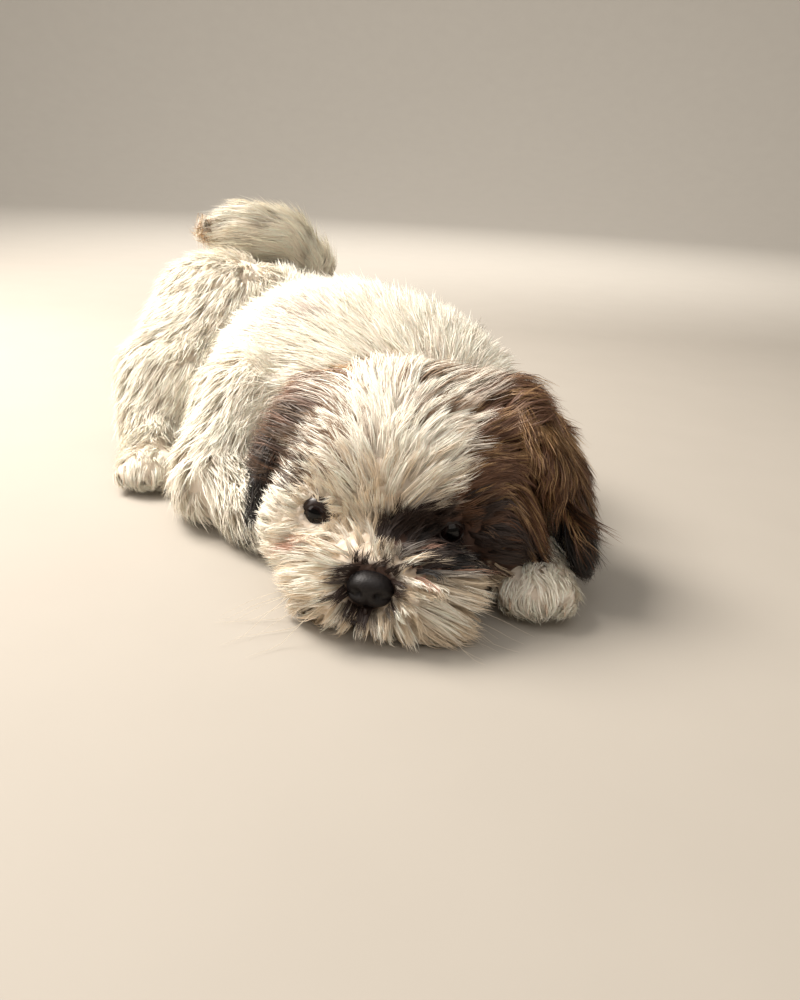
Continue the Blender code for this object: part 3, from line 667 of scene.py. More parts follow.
# Where the hair is shorter: place, least share of the full length, and the distances over which it grows.
FAR_CHEEK = np.array((-0.046, 0.050, 0.028))
SHORTER = (
    (EYE_RIGHT, 0.38, 0.008, 0.024),
    (EYE_LEFT, 0.38, 0.008, 0.024),
    (FAR_CHEEK, 0.55, 0.008, 0.020),
    (NOSE + (0, 0.008, 0.014), 0.75, 0.0072, 0.0168),
    (NOSE, 0.30, 0.0105, 0.018),
)
EAR_TIPS_SHORTER = (0.60, 0.010, 0.035)

# The lie on the ears, fanned out from the root with wider edges, and on the trunk and legs.
EAR_FAN = 0.3
EAR_FRONT = (-0.004, 0.016)
EAR_BACK = (0.006, 0.018)
FRONT_LIE = 0.5
BACK_LIE = 0.45
BACK_LIFT = 0.25
TAIL_FALL = np.array((0, 0, -0.15))
TRUNK_FALL = np.array((0, 0, -0.9))
LEG_FALL = np.array((0, 0, -0.5))
THIGH_FALL = np.array((0, 0, -1.0))
THIGH_EDGE = (-0.004, 0.006)
THIGH_LIE = 0.4

# Hair keeps clear of the eye and of a cone ahead of it, whose way is given for the left eye.
BARE_EYE = 0.0004
SIGHT_WAY = (0.15, -1.0, 0.32)
SIGHT_RADIUS = 0.0038
SIGHT_DEPTH = 0.020
SIGHT_TAPER = 0.08

# How locks differ: in length, in tone, and in how they swing with their neighbours and alone.
LENGTH_RANGE = (0.75, 1.2)
TONE_RANGE = (0.86, 1.12)
SWAY_SIZE = 0.016
SWAY_SHARED = 1.4
SWAY_ALONE = 0.5
ROOT_DEPTH = 0.0008
# Painted shade: each hair's colour darkens towards its root, deep in the coat, and brightens a little at its
# tip as painted light.
ROOT_PAINTED_SHADE = 0.90
TIP_PAINTED_LIGHT = 1.02


def kinds_at(p, regions):
    """Name of the coat's kind for every point, from the region that it lies in."""
    names = np.array(["crown", "ear", "ear", "trunk", "tail", "leg", "leg", "leg", "leg"], "U8")[regions]
    head = names == "crown"
    names[head & (p[:, 1] < BROW_LIMIT)] = "face"
    near = np.linalg.norm(p - NOSE, axis=-1) < MUZZLE_REACH
    names[head & near & (p[:, 2] < NOSE[2] + MUZZLE_TOP)] = "muzzle"
    for centre, _ in PAWS.values():
        close = np.linalg.norm(p - np.array(centre), axis=-1) < PAW_SIZE[1]
        names[(names == "leg") & close] = "paw"
    return names


def chain_heading(p, stations):
    """The way in which a limb runs at its nearest stretch."""
    best = np.full(len(p), np.inf)
    heading = np.zeros_like(p)
    for start, end in zip(stations, stations[1:]):
        away = rod_distance(p, start, end, 0.0)
        heading = np.where((away < best)[:, None], unit(np.subtract(end[:3], start[:3])), heading)
        best = np.minimum(best, away)
    return heading


def hanging(p):
    """How freely the hair hangs at each point: 1 between the left cheek and its ear, 0 away from there."""
    return 1 - eased(*CURTAIN_REACH, np.linalg.norm(p - CURTAIN, axis=-1))


def tufted(p):
    """How much each point belongs to the tuft that stands out at the root of the left ear."""
    return 1 - eased(*TUFT_REACH, np.linalg.norm(p - TUFT, axis=-1))


def head_lie(p):
    """Away from the nose, out to both sides over the brow, and falling a little; round the eyes it turns
    away from them."""
    away = unit(p - NOSE)
    side = np.clip((p[:, :1] - FACE_MIDDLE) / BROW_SPAN, -1, 1)
    lie = away + side * eased(*BROW_HEIGHTS, p[:, 2:3]) * BROW_LIE + HEAD_FALL
    for eye in (EYE_RIGHT, EYE_LEFT):
        offset = p - eye
        near = 1 - eased(*EYE_TURN, np.linalg.norm(offset, axis=-1, keepdims=True))
        lie = lie + unit(offset) * near * EYE_PUSH
    lie = lie + tufted(p)[:, None] * TUFT_LIE
    return lie + hanging(p)[:, None] * CURTAIN_LIE_HEAD


def lie_at(p, region):
    """The lie of the coat at every point of one region."""
    if region == "head":
        return head_lie(p)
    if region in EARS:
        root, length, across, along, normal = ear_axes(EARS[region])
        ahead = across * -np.sign(across[1])
        front = eased(*EAR_FRONT, (p - root) @ ahead)[:, None]
        back = eased(*EAR_BACK, (root - p) @ ahead)[:, None]
        lie = along + unit(p - root) * EAR_FAN + ahead * (front * FRONT_LIE - back * BACK_LIE)
        lie = lie + normal * back * BACK_LIFT
        return lie + tufted(p)[:, None] * TUFT_LIE + hanging(p)[:, None] * CURTAIN_LIE_EAR
    if region == "tail":
        return chain_heading(p, TAIL) + TAIL_FALL
    spine = unit(np.subtract(TRUNK_MASSES[-1][0], TRUNK_MASSES[0][0]))
    if region == "trunk":
        return spine + TRUNK_FALL
    stations = LEGS[region]
    heading = chain_heading(p, stations)
    upper = eased(*THIGH_EDGE, -rod_distance(p, *stations[:2], 0.0))[:, None]
    return (heading + LEG_FALL) * (1 - upper) + ((heading + spine) * THIGH_LIE + THIGH_FALL) * upper


def region_field(region):
    """The skin's distance for the hairs of one region: an ear's follow their own leaf, the rest the whole."""
    if region in EARS:
        return lambda p: ear_distance(p, EARS[region], COAT_DEPTH["ear"])
    if region == "head":
        ears = [functools.partial(ear_distance, ear=ear, inset=COAT_DEPTH["ear"]) for ear in EARS.values()]
        return lambda p: joined(joined(head_distance(p), ears[0](p), EAR_FOLD), ears[1](p), EAR_FOLD)
    return lambda p: region_distances(p)[:, len(EARS) + 1:].min(axis=-1)


def rooted(rng):
    """Roots of the locks, their region and kind: each triangle of the skin holds a share that goes with its
    area over the square of its kind's spacing."""
    points, faces = skin_shape()
    corners = points[faces]
    middles = corners.mean(axis=1)
    normals = np.cross(corners[:, 1] - corners[:, 0], corners[:, 2] - corners[:, 0])
    areas = np.linalg.norm(normals, axis=-1) / 2
    regions = region_distances(middles).argmin(axis=-1)
    kinds = kinds_at(middles, regions)
    spacing = np.select([kinds == kind for kind in COATS], [coat.spacing for coat in COATS.values()])
    wanted = areas / np.square(spacing)
    under = (middles[:, 2] < NEAR_FLOOR) & (normals[:, 2] < 0)
    wanted[under] = 0
    total = np.cumsum(wanted)
    picks = np.searchsorted(total, rng.random(int(total[-1])) * total[-1])
    a, b = rng.random((2, len(picks), 1))
    folded = a + b > 1
    a, b = np.where(folded, 1 - a, a), np.where(folded, 1 - b, b)
    first, second, third = np.moveaxis(corners[picks], 1, 0)
    roots = first + (second - first) * a + (third - first) * b
    bare = np.linalg.norm((roots - NOSE) @ HEAD_TURN / (NOSE_SIZE * NOSE_BARE), axis=-1) < 1
    for eye, side in ((EYE_RIGHT, -1), (EYE_LEFT, 1)):
        bare |= opening_distance(roots, eye, side) < BARE_EYE
    keep = ~bare
    return roots[keep], regions[picks][keep], kinds[picks][keep]


def combed(roots, region, coat, lengths, sway):
    """Middle lines of locks: at each step a point moves along the lie laid flat on the surface, swung by the
    sway, and then towards its height over the skin, rise t^climb; stiff hair goes only part of that way."""
    field = region_field(region)
    point = roots
    free = np.maximum(hanging(roots), TUFT_STIFF * tufted(roots))[:, None]
    stiff = coat.stiff + (CURTAIN_STIFF - coat.stiff) * free
    up = slope(field, point)
    line, ups = [point - up * ROOT_DEPTH], [up]
    step = (lengths / coat.segments)[:, None]
    for k in range(1, coat.segments + 1):
        lie = unit(lie_at(point, region))
        flat = unit(lie - up * dot(lie, up))
        flat = unit(flat + np.cross(up, flat) * sway[:, None])
        point = point + flat * step
        up = unit(up * stiff + slope(field, point) * (1 - stiff))
        height = coat.rise * (k / coat.segments) ** coat.climb
        share = 1 - stiff * k / coat.segments
        point = point + up * (height - field(point))[:, None] * share
        point[:, 2] = np.maximum(point[:, 2], FLOOR_CLEAR)
        line.append(point)
        ups.append(up)
    return np.stack(line, 1), np.stack(ups, 1)


def gathered(lines, rng, part, pull):
    """Draws locks into tufts: each leans towards the nearest of a few leading locks by pull t^1.5."""
    leading = lines[rng.random(len(lines)) < part]
    if not len(leading):
        return lines
    nearest = np.concatenate([np.linalg.norm(some[:, None] - leading[None, :, 0], axis=-1).argmin(axis=-1)
                              for some in np.array_split(lines[:, 0], 1 + len(lines) // 500)])
    share = pull * np.linspace(0, 1, lines.shape[1])[None, :, None] ** 1.5
    return lines + (leading[nearest] - lines) * share


def shorter(p, centre, least, near, far):
    """Share of the length round a place: least up to near, growing to 1 at far."""
    return least + (1 - least) * eased(near, far, np.linalg.norm(p - centre, axis=-1))


def local_length(p, kind):
    """Share of the full length that the hair has at each point."""
    share = np.ones(len(p))
    if kind in ("face", "muzzle", "crown"):
        for place in SHORTER:
            share *= shorter(p, *place)
    if kind in ("crown", "ear"):
        share *= 1 + TUFT_LONGER * tufted(p)
    if kind == "ear":
        for _, tip, _ in EARS.values():
            share *= shorter(p, np.array(tip), *EAR_TIPS_SHORTER)
    return share


# How a lock comes apart: hairs of unequal reach, fraying tips, ribbons rolled a little about their length.
HAIR_REACH = (0.70, 1.08)
FRAY = 0.55
ROLL = 0.35


def haired(lines, ups, coat, rng):
    """Ribbons round each lock's middle line: they start over the lock's width, close towards its tip, and
    fray. Returns points as locks x hairs x stations x 3, and their half widths as vectors."""
    count, stations, _ = lines.shape
    along = unit(np.gradient(lines, axis=1))
    side = unit(np.cross(along, ups))
    t = np.linspace(0, 1, stations)
    radius = coat.spread * np.sqrt(rng.random((count, coat.hairs, 1, 1)))
    angle = rng.random((count, coat.hairs, 1, 1)) * 2 * math.pi
    open_share = (1 - coat.close * t ** 0.8)[None, None, :, None]
    reach = rng.uniform(*HAIR_REACH, (count, coat.hairs, 1, 1))
    fray = rng.normal(size=(count, coat.hairs, 1, 3)) * (t ** 1.6)[None, None, :, None] * coat.spread * FRAY
    start = lines[:, None, :1]
    middle = start + (lines[:, None] - start) * reach
    middle = middle + side[:, None] * radius * np.cos(angle) * open_share
    middle = middle + along[:, None, :1] * radius * np.sin(angle) * open_share + fray
    roll = rng.normal(size=(count, coat.hairs, 1, 1)) * ROLL
    width = coat.width / 2 * np.array([0.85] + [1.0] * (stations - 3) + [0.70, 0.0])
    half = (side[:, None] * np.cos(roll) + ups[:, None] * np.sin(roll)) * width[None, None, :, None]
    middle[..., 2] = np.maximum(middle[..., 2], FLOOR_CLEAR)
    return middle, np.broadcast_to(half, middle.shape)


def ribbon_faces(count, stations):
    """Triangles of ribbons whose points run left, right, left, right ... and end in one tip, face outward."""
    k = 2 * np.arange(stations - 2)[:, None]
    quads = (k[:, :, None] + np.array(((0, 3, 1), (0, 2, 3)))).reshape(-1, 3)
    last = 2 * (stations - 2)
    one = np.vstack([quads, [(last, last + 2, last + 1)]])
    step = 2 * (stations - 1) + 1
    return (one + (np.arange(count) * step)[:, None, None]).reshape(-1, 3)


# Where each region lies on the bake map, as a tile (left, low, wide, high), and the ball that unwraps it:
# its middle, the axis of its poles, and its half sizes along and across that axis.
TILES = {
    "head": ((0.02, 0.52, 0.46, 0.46), (0.008, 0.058, 0.036), (0, -1, -0.15), (0.058, 0.055)),
    "trunk": ((0.52, 0.52, 0.46, 0.46), (-0.036, 0.185, 0.042), (-0.3, 1, 0), (0.110, 0.060)),
    "ear_right": ((0.02, 0.27, 0.22, 0.22), (-0.043, 0.080, 0.034), (-0.3, -0.4, -0.9), (0.034, 0.022)),
    "ear_left": ((0.26, 0.27, 0.22, 0.22), (0.067, 0.063, 0.042), (0.4, -0.5, -0.8), (0.038, 0.022)),
    "tail": ((0.52, 0.27, 0.22, 0.22), (-0.080, 0.280, 0.098), (-0.8, -0.3, 0.5), (0.036, 0.020)),
    "front_right": ((0.76, 0.27, 0.22, 0.22), (-0.055, 0.090, 0.020), (0.4, -0.9, -0.2), (0.050, 0.022)),
    "front_left": ((0.02, 0.02, 0.22, 0.22), (0.058, 0.080, 0.020), (0.2, -1, -0.2), (0.050, 0.022)),
    "hind_right": ((0.26, 0.02, 0.22, 0.22), (-0.115, 0.185, 0.030), (-0.2, -1, -0.4), (0.055, 0.030)),
    "hind_left": ((0.52, 0.02, 0.22, 0.22), (0.002, 0.215, 0.030), (0.7, -0.7, -0.3), (0.055, 0.030)),
}
PATCH = 0.003


def unwrapped(p, region):
    """Place on the bake map: turn round the region's axis across its tile, tilt from its pole up it."""
    (left, low, wide, high), middle, axis, (long_half, cross_half) = TILES[region]
    axis = unit(np.array(axis, float))
    first = unit(np.cross(axis, (0, 0, 1.0)))
    second = np.cross(axis, first)
    q = p - np.array(middle)
    a, b, c = q @ axis / long_half, q @ first / cross_half, q @ second / cross_half
    turn = np.arctan2(c, b) / (2 * math.pi) + 0.5
    tilt = np.arctan2(np.hypot(b, c), a) / math.pi
    return np.stack([left + wide * turn, low + high * tilt], -1)


@functools.cache
def coat_locks():
    """Roots, regions and kinds of all locks, drawn once so that every coat piece takes its own share."""
    return rooted(np.random.default_rng(SEED))


def clear_of_eyes(middle):
    """Which hairs leave both eyes free: those that stay outside a cone of sight or lie behind the eye."""
    keep = np.ones(middle.shape[:2], bool)
    for eye, side in ((EYE_RIGHT, -1), (EYE_LEFT, 1)):
        sight = unit(np.multiply(SIGHT_WAY, (side, 1, 1)))
        q = middle - eye
        depth = q @ sight
        ahead = np.clip(depth, 0, SIGHT_DEPTH)
        away = np.linalg.norm(q - ahead[..., None] * sight, axis=-1)
        radius = SIGHT_RADIUS * np.clip(1.2 - ahead / SIGHT_TAPER, 0.8, 1)
        keep &= (away > radius).all(axis=-1) | (depth < 0).all(axis=-1)
    return keep


def coat_arrays(kind, region, seed):
    """Points, colours and map places of all hairs of one kind in one region."""
    rng = np.random.default_rng(seed)
    coat = COATS[kind]
    all_roots, regions, kinds = coat_locks()
    roots = all_roots[(kinds == kind) & (regions == REGIONS.index(region))]
    count = len(roots)
    full_length = getattr(bpy.context.scene.puppy_coat, f"{kind}_length")
    lengths = full_length * local_length(roots, kind)
    free = hanging(roots) if region == "head" or region in EARS else 0.0
    lengths = (lengths + (CURTAIN_LENGTH - lengths) * free) * rng.uniform(*LENGTH_RANGE, count)
    swing = SWAY_SHARED * rippled(roots, SWAY_SIZE, 11) + SWAY_ALONE * rng.normal(size=count)
    lines, ups = combed(roots, region, coat, lengths, coat.sway * swing)
    lines = gathered(lines, rng, coat.leading, coat.pull)
    middle, half = haired(lines, ups, coat, rng)
    marks_and_highlight = HEAD_MARKS_AND_HIGHLIGHT if region == "head" or region in EARS else BODY_COLOURS
    colours = marks_and_painted_light(roots, marks_and_highlight, rng)[:, None] * rng.uniform(*TONE_RANGE, (count, coat.hairs, 1))
    keep = clear_of_eyes(middle)
    middle, half, colours = middle[keep], half[keep], np.broadcast_to(colours, (*keep.shape, 3))[keep]
    stations = coat.segments + 1
    pairs = np.stack([middle + half, middle - half], 2)[:, :-1].reshape(len(middle), -1, 3)
    points = np.concatenate([pairs, middle[:, -1:]], 1)
    t = np.append(np.repeat(np.arange(stations - 1), 2), stations - 1) / (stations - 1)
    # Painted shade and light along each hair, darker at the root and brighter at the tip.
    shade = (ROOT_PAINTED_SHADE + (TIP_PAINTED_LIGHT - ROOT_PAINTED_SHADE) * t ** 0.7)[None, :, None]
    colour = np.clip(colours[:, None] * shade, 0, 0.95)
    patch = np.stack([np.append(np.tile((-0.5, 0.5), stations - 1), 0), t - 0.5], -1) * PATCH
    places = unwrapped(middle[:, 0], region)[:, None] + patch
    return points.reshape(-1, 3), colour.reshape(-1, 3), places.reshape(-1, 2)


# Pieces of the coat: the kinds and regions that each holds, and into how many even shares it is split.
COAT_PIECES = {
    "coat_trunk": ("coat_white", 3, (("trunk", "trunk"),)),
    "coat_legs": ("coat_white", 4, tuple((kind, leg) for leg in LEGS for kind in ("leg", "paw"))),
    "coat_tail": ("coat_white", 1, (("tail", "tail"),)),
    "coat_crown": ("coat_white", 1, (("crown", "head"),)),
    "coat_face": ("coat_white", 1, (("face", "head"),)),
    "coat_muzzle": ("coat_white", 1, (("muzzle", "head"),)),
    "coat_ear_right": ("coat_brown", 1, (("ear", "ear_right"),)),
    "coat_ear_left": ("coat_brown", 1, (("ear", "ear_left"),)),
}


def make_coat(name):
    """Builds one entry of COAT_PIECES, its hairs shared out from front to back."""
    finish_name, shares, parts = COAT_PIECES[name]
    arrays = [coat_arrays(kind, region, SEED + 31 * k) for k, (kind, region) in enumerate(parts)]
    points, colours, places = (np.concatenate(some) for some in zip(*arrays))
    stations = COATS[parts[0][0]].segments + 1
    per_hair = 2 * stations - 1
    order = np.argsort(points[::per_hair, 1], kind="stable")
    for k, chosen in enumerate(np.array_split(order, shares)):
        take = (chosen[:, None] * per_hair + np.arange(per_hair)).ravel()
        piece_of(name if shares == 1 else f"{name}_{k + 1}", points[take], ribbon_faces(len(chosen), stations),
                 materials()[finish_name], (), colours[take], places[take])


@functools.cache
def materials():
    """Every finish, made once."""
    return {"coat_white": hair_material("white_puppy_hair", 0.60),
            "coat_brown": hair_material("brown_puppy_hair", 0.50),
            "skin": skin_material(),
            "eye": eye_material(),
            "nose": nose_material(),
            "rim": rim_material(),
            "horn": horn_material(),
            "whisker": whisker_material()}


def eye_material():
    """Living eye, wet cornea over a dark iris: mirror gloss over colour carried by the points."""
    material, tree = blank("wet_eye")
    colour = add(tree, "ShaderNodeAttribute", attribute_name=COLOUR_NAME)
    place = add(tree, "ShaderNodeTexCoord")
    fibres = add(tree, "ShaderNodeTexNoise", [("Vector", place, "Object")], Scale=1 / 0.0008, Detail=3.0)
    share = add(tree, "ShaderNodeMapRange", [("Value", fibres, 0)], To_Min=0.7, To_Max=1.3)
    shade = add(tree, "ShaderNodeVectorMath", [(0, colour, "Color"), ("Scale", share, 0)], operation="SCALE")
    shader = add(tree, "ShaderNodeBsdfPrincipled", [("Base Color", shade, 0)], Roughness=0.04, IOR=1.376)
    finish(tree, shader)
    return material


def nose_material():
    """Nose leather, moist: black with pebbles 0.7 mm across that break its gloss."""
    material, tree = blank("moist_nose_leather")
    place = add(tree, "ShaderNodeTexCoord")
    pebble = add(tree, "ShaderNodeTexVoronoi", [("Vector", place, "Object")], Scale=1 / 0.0007)
    bump = add(tree, "ShaderNodeBump", [("Height", pebble, "Distance")], Strength=0.5, Distance=0.00015)
    blotch = add(tree, "ShaderNodeTexNoise", [("Vector", place, "Object")], Scale=1 / 0.003, Detail=2.0)
    colour = add(tree, "ShaderNodeMix", [("Factor", blotch, 0)], data_type="RGBA",
                 A=(*linear("#0E0A0A"), 1), B=(*linear("#1E1817"), 1))
    shader = add(tree, "ShaderNodeBsdfPrincipled", [("Base Color", colour, "Result"), ("Normal", bump, 0)],
                 Roughness=0.55, IOR=1.40)
    finish(tree, shader)
    return material


def rim_material():
    """Hairless skin of lids and lips, dark and moist: fine creases 0.4 mm apart catch the light, with painted
    shade in their hollows.
    """
    material, tree = blank("moist_dark_skin")
    place = add(tree, "ShaderNodeTexCoord")
    crease = add(tree, "ShaderNodeTexNoise", [("Vector", place, "Object")], Scale=1 / 0.0004, Detail=2.0)
    bump = add(tree, "ShaderNodeBump", [("Height", crease, 0)], Strength=0.4, Distance=0.0001)
    # Painted shade: the crease noise darkens the colour in the hollows and lightens it on the ridges.
    colour = add(tree, "ShaderNodeMix", [("Factor", crease, 0)], data_type="RGBA",
                 A=(*linear("#1B1413"), 1), B=(*linear("#33241F"), 1))
    shader = add(tree, "ShaderNodeBsdfPrincipled", [("Base Color", colour, "Result"), ("Normal", bump, 0)],
                 Roughness=0.35, IOR=1.42)
    finish(tree, shader)
    return material


def horn_material():
    """Claw horn, grown and worn: pale, half gloss, with bands 0.5 mm apart along the claw."""
    material, tree = blank("pale_claw_horn")
    place = add(tree, "ShaderNodeTexCoord")
    band = add(tree, "ShaderNodeTexNoise", [("Vector", place, "Object")], Scale=1 / 0.0005, Detail=1.0)
    colour = add(tree, "ShaderNodeMix", [("Factor", band, 0)], data_type="RGBA",
                 A=(*linear("#BFA38C"), 1), B=(*linear("#E3CDB6"), 1))
    shader = add(tree, "ShaderNodeBsdfPrincipled", [("Base Color", colour, "Result")], Roughness=0.30, IOR=1.55)
    finish(tree, shader)
    return material


def whisker_material():
    """Whisker, keratin: a smooth pale bristle with a soft shine, a little darker in places."""
    material, tree = blank("pale_whisker")
    place = add(tree, "ShaderNodeTexCoord")
    tone = add(tree, "ShaderNodeTexNoise", [("Vector", place, "Object")], Scale=1 / 0.004, Detail=1.0)
    colour = add(tree, "ShaderNodeMix", [("Factor", tone, 0)], data_type="RGBA",
                 A=(*linear("#D8C8AE"), 1), B=(*linear("#F4EAD8"), 1))
    shader = add(tree, "ShaderNodeBsdfPrincipled", [("Base Color", colour, "Result")], Roughness=0.40, IOR=1.55)
    finish(tree, shader)
    return material


def floor_material():
    """Painted board, sprayed matt: plain and pale, with a grain too fine to read as a pattern."""
    material, tree = blank("matt_pale_board")
    place = add(tree, "ShaderNodeTexCoord")
    grain = add(tree, "ShaderNodeTexNoise", [("Vector", place, "Object")], Scale=1 / 0.05, Detail=2.0)
    colour = add(tree, "ShaderNodeMix", [("Factor", grain, 0)], data_type="RGBA",
                 A=(*linear("#A69F95"), 1), B=(*linear("#AAA399"), 1))
    shader = add(tree, "ShaderNodeBsdfPrincipled", [("Base Color", colour, "Result")], Roughness=0.8)
    finish(tree, shader)
    return material


# Small parts of the head and feet


PUPIL = math.radians(20)
IRIS = math.radians(42)
CORNEA_BULGE = 0.00055


def make_eye(name, centre, side, settings):
    """A ball whose cornea stands out by the bulge, with pupil, iris and white by angle from the gaze."""
    pupil, iris = settings.pupil, settings.iris
    points, faces = unit_ball(64, 48)
    axes = gaze(side)
    local = np.stack([points[:, 0], points[:, 2], points[:, 1]], -1)
    faces = faces[:, ::-1]
    angle = np.arccos(np.clip(local[:, 1], -1, 1))
    radius = EYE_RADIUS + CORNEA_BULGE * (1 - eased(0.6 * iris, 1.15 * iris, angle))
    ring = np.array(settings.iris_colour) * (1 + 0.8 * eased(pupil, iris, angle))[:, None]
    colours = np.where((angle < pupil)[:, None], linear("#050405"), ring)
    edge = eased(iris * 0.97, iris * 1.05, angle)[:, None]
    colours = colours * (1 - edge) + linear("#3A2A26") * edge
    return piece_of(name, centre + (local * radius[:, None]) @ axes.T, faces, materials()["eye"],
                    (name,), colours)


LID_OPEN = (math.radians(38), math.radians(27))
LID_BACK = math.radians(100)
LID_SECTION = ((0.00, -0.0006), (0.02, 0.0003), (0.06, 0.0007), (0.12, 0.0009), (0.30, 0.0010),
               (0.60, 0.0008), (1.00, -0.0004))
LID_PINCH = 0.16
LID_TURN = 96


def lid_points(centre, side):
    """A lid as a section carried round the almond of its opening: the angle from the gaze goes from the
    opening to LID_BACK, and the section gives the height over the ball on the way."""
    turn = np.arange(LID_TURN) * 2 * math.pi / LID_TURN
    wide, high = LID_OPEN
    opening = np.sqrt(np.square(wide * np.cos(turn)) + np.square(high * np.sin(turn)))
    opening = opening * (1 - LID_PINCH * np.square(np.cos(turn)) * np.square(np.sin(turn)) * 4)
    share, height = np.array(LID_SECTION).T
    angle = opening[:, None] + (LID_BACK - opening[:, None]) * share
    radius = EYE_RADIUS + height
    local = np.stack([np.sin(angle) * np.cos(turn)[:, None], np.cos(angle),
                      np.sin(angle) * np.sin(turn)[:, None]], -1) * radius[None, :, None]
    return centre + local.reshape(-1, 3) @ gaze(side).T


def make_lids():
    """Both pairs of lids as one piece."""
    rows = len(LID_SECTION)
    i, j = np.meshgrid(np.arange(LID_TURN), np.arange(rows - 1), indexing="ij")
    a = i * rows + j
    b = (i + 1) % LID_TURN * rows + j
    faces = np.stack([a, b, b + 1, a + 1], -1).reshape(-1, 4)[:, ::-1]
    right = lid_points(EYE_RIGHT, -1)
    left = lid_points(EYE_LEFT, 1)
    return piece_of("lids", np.vstack([right, left]), np.vstack([faces, faces + len(right)]),
                    materials()["rim"])


NOSTRIL = ((0.0042, -0.0058, 0.0002), (0.0019, 0.0030, 0.0016), 0.0026)
SLIT = ((0.0066, -0.0040, -0.0014), (0.0024, 0.0030, 0.0007), 0.0012)
PHILTRUM = ((0.0, -0.0066, -0.0040), (0.0006, 0.0030, 0.0034), 0.0008)


def make_nose():
    """The pad as a ball a little squared off, pushed in where the nostrils, the slits beside them and the
    groove below lie: each dent is its depth times exp(-k^2), k being the offset over its half sizes."""
    points, faces = unit_ball(96, 64)
    local = np.sign(points) * np.abs(points) ** 0.88 * NOSE_SIZE
    local[:, 2] += 0.0010 * eased(0.0, 0.008, -local[:, 1]) * np.cos(local[:, 0] / NOSE_SIZE[0] * math.pi / 2)
    for (x, y, z), half, depth in (NOSTRIL, SLIT, PHILTRUM):
        for side in ((-1, 1) if x else (1,)):
            k = np.linalg.norm((local - (x * side, y, z)) / half, axis=-1)
            local = local * (1 - (depth * np.exp(-k * k) / np.linalg.norm(local, axis=-1))[:, None])
    return piece_of("nose_pad", NOSE + local @ HEAD_TURN.T, faces, materials()["nose"],
                    ("nose",))


LIP_RADIUS = 0.0010
MOUTH_REACH = 0.0205


def make_lips():
    """The line of the mouth: a groove down from the nose, then a bow to each side under the flews."""
    t = np.linspace(0, 1, 24)
    groove = np.stack([np.zeros(24), -0.0052 + 0.0015 * t, -0.0050 - 0.0060 * t], -1)
    paths = [groove]
    for side in (-1, 1):
        paths.append(np.stack([side * MOUTH_REACH * t, -0.0037 + 0.0200 * t ** 1.8,
                               -0.0110 - 0.0040 * np.sin(math.pi * t) + 0.0015 * t], -1))
    path = NOSE + np.stack(paths) @ HEAD_TURN.T
    radii = np.tile(LIP_RADIUS * (0.5 + 0.5 * np.sin(math.pi * t)), (3, 1))
    points, faces = swept(path, np.array((0, 0, 1.0)), radii, 8)
    return piece_of("lips", points, faces, materials()["rim"])


WHISKER_DROOP = 0.010
WHISKER_RADIUS = 0.00013


def make_whiskers(settings):
    """Whiskers in two rows on each side of the muzzle, bowed down by their own weight: a point at share t
    lies length t along and droop t^2 down."""
    rng = np.random.default_rng(SEED + 5)
    sides = np.repeat((-1.0, 1.0), settings.whiskers)
    row = np.tile(np.arange(settings.whiskers), 2)
    count = len(row)
    root = NOSE + np.stack([sides * (0.011 + 0.0016 * row), 0.004 + 0.0012 * row,
                            -0.004 - 0.0035 * (row % 3)], -1)
    way = unit(np.stack([sides * rng.uniform(0.8, 1.2, count), rng.uniform(-0.9, -0.1, count),
                         rng.uniform(-0.5, 0.1, count)], -1))
    length = settings.whisker_length * rng.uniform(0.6, 1.0, count)[:, None, None]
    t = np.linspace(0, 1, 9)[None, :, None]
    path = root[:, None] + way[:, None] * length * t - np.array((0, 0, WHISKER_DROOP)) * t * t
    path[..., 2] = np.maximum(path[..., 2], 0.0006)
    radii = WHISKER_RADIUS * (1 - 0.85 * t[..., 0]) * np.ones((count, 1))
    points, faces = swept(path, np.array((0, 0.3, 1.0)), radii, 5)
    return piece_of("whiskers", points, faces, materials()["whisker"])


CLAW_LENGTH = 0.0042
CLAW_DROP = 0.0028
CLAW_RADIUS = 0.0009


def make_claws():
    """A bowed, tapering claw at the front of every toe."""
    roots, ways = [], []
    for paw in PAWS.values():
        ahead = turned(0, 0, paw[1]) @ np.array((0, -1.0, 0))
        roots.append(toe_places(paw) + ahead * TOE_SIZE[1] * 0.72)
        ways.append(np.tile(ahead, (TOES, 1)))
    root, way = np.concatenate(roots), np.concatenate(ways)
    t = np.linspace(0, 1, 7)[None, :, None]
    path = root[:, None] + way[:, None] * CLAW_LENGTH * t - np.array((0, 0, CLAW_DROP)) * t * t
    path[..., 2] = np.maximum(path[..., 2], 0.0010)
    radii = CLAW_RADIUS * (1 - 0.9 * t[..., 0] ** 1.5) * np.ones((len(root), 1))
    points, faces = swept(path, np.array((0, 0, 1.0)), radii, 8)
    return piece_of("claws", points, faces, materials()["horn"])


SKIN_TINT = 0.80
SKIN_FLUSH = 0.10


def make_skin():
    """The one skin, with the coat's markings and painted highlight under it and a flush of pink."""
    points, faces = skin_shape()
    head = (region_distances(points).argmin(axis=-1) < 1 + len(EARS))[:, None]
    rng = np.random.default_rng(SEED)
    colours = np.where(head, marks_and_painted_light(points, HEAD_MARKS_AND_HIGHLIGHT, rng), marks_and_painted_light(points, BODY_COLOURS, rng))
    colours = colours * SKIN_TINT + linear("#C89A86") * SKIN_FLUSH
    return piece_of("skin", points, faces, materials()["skin"], NODES_OF_FLESH, colours)


# Stage

CAMERA_PLACE = np.array((0.0074, -0.2289, 0.15))
CAMERA_TILT = math.radians(22.6)
CAMERA_ROLL = math.radians(-3.3)
FOCAL_SHARE = 0.78
FLOOR_DROP = 0.0002

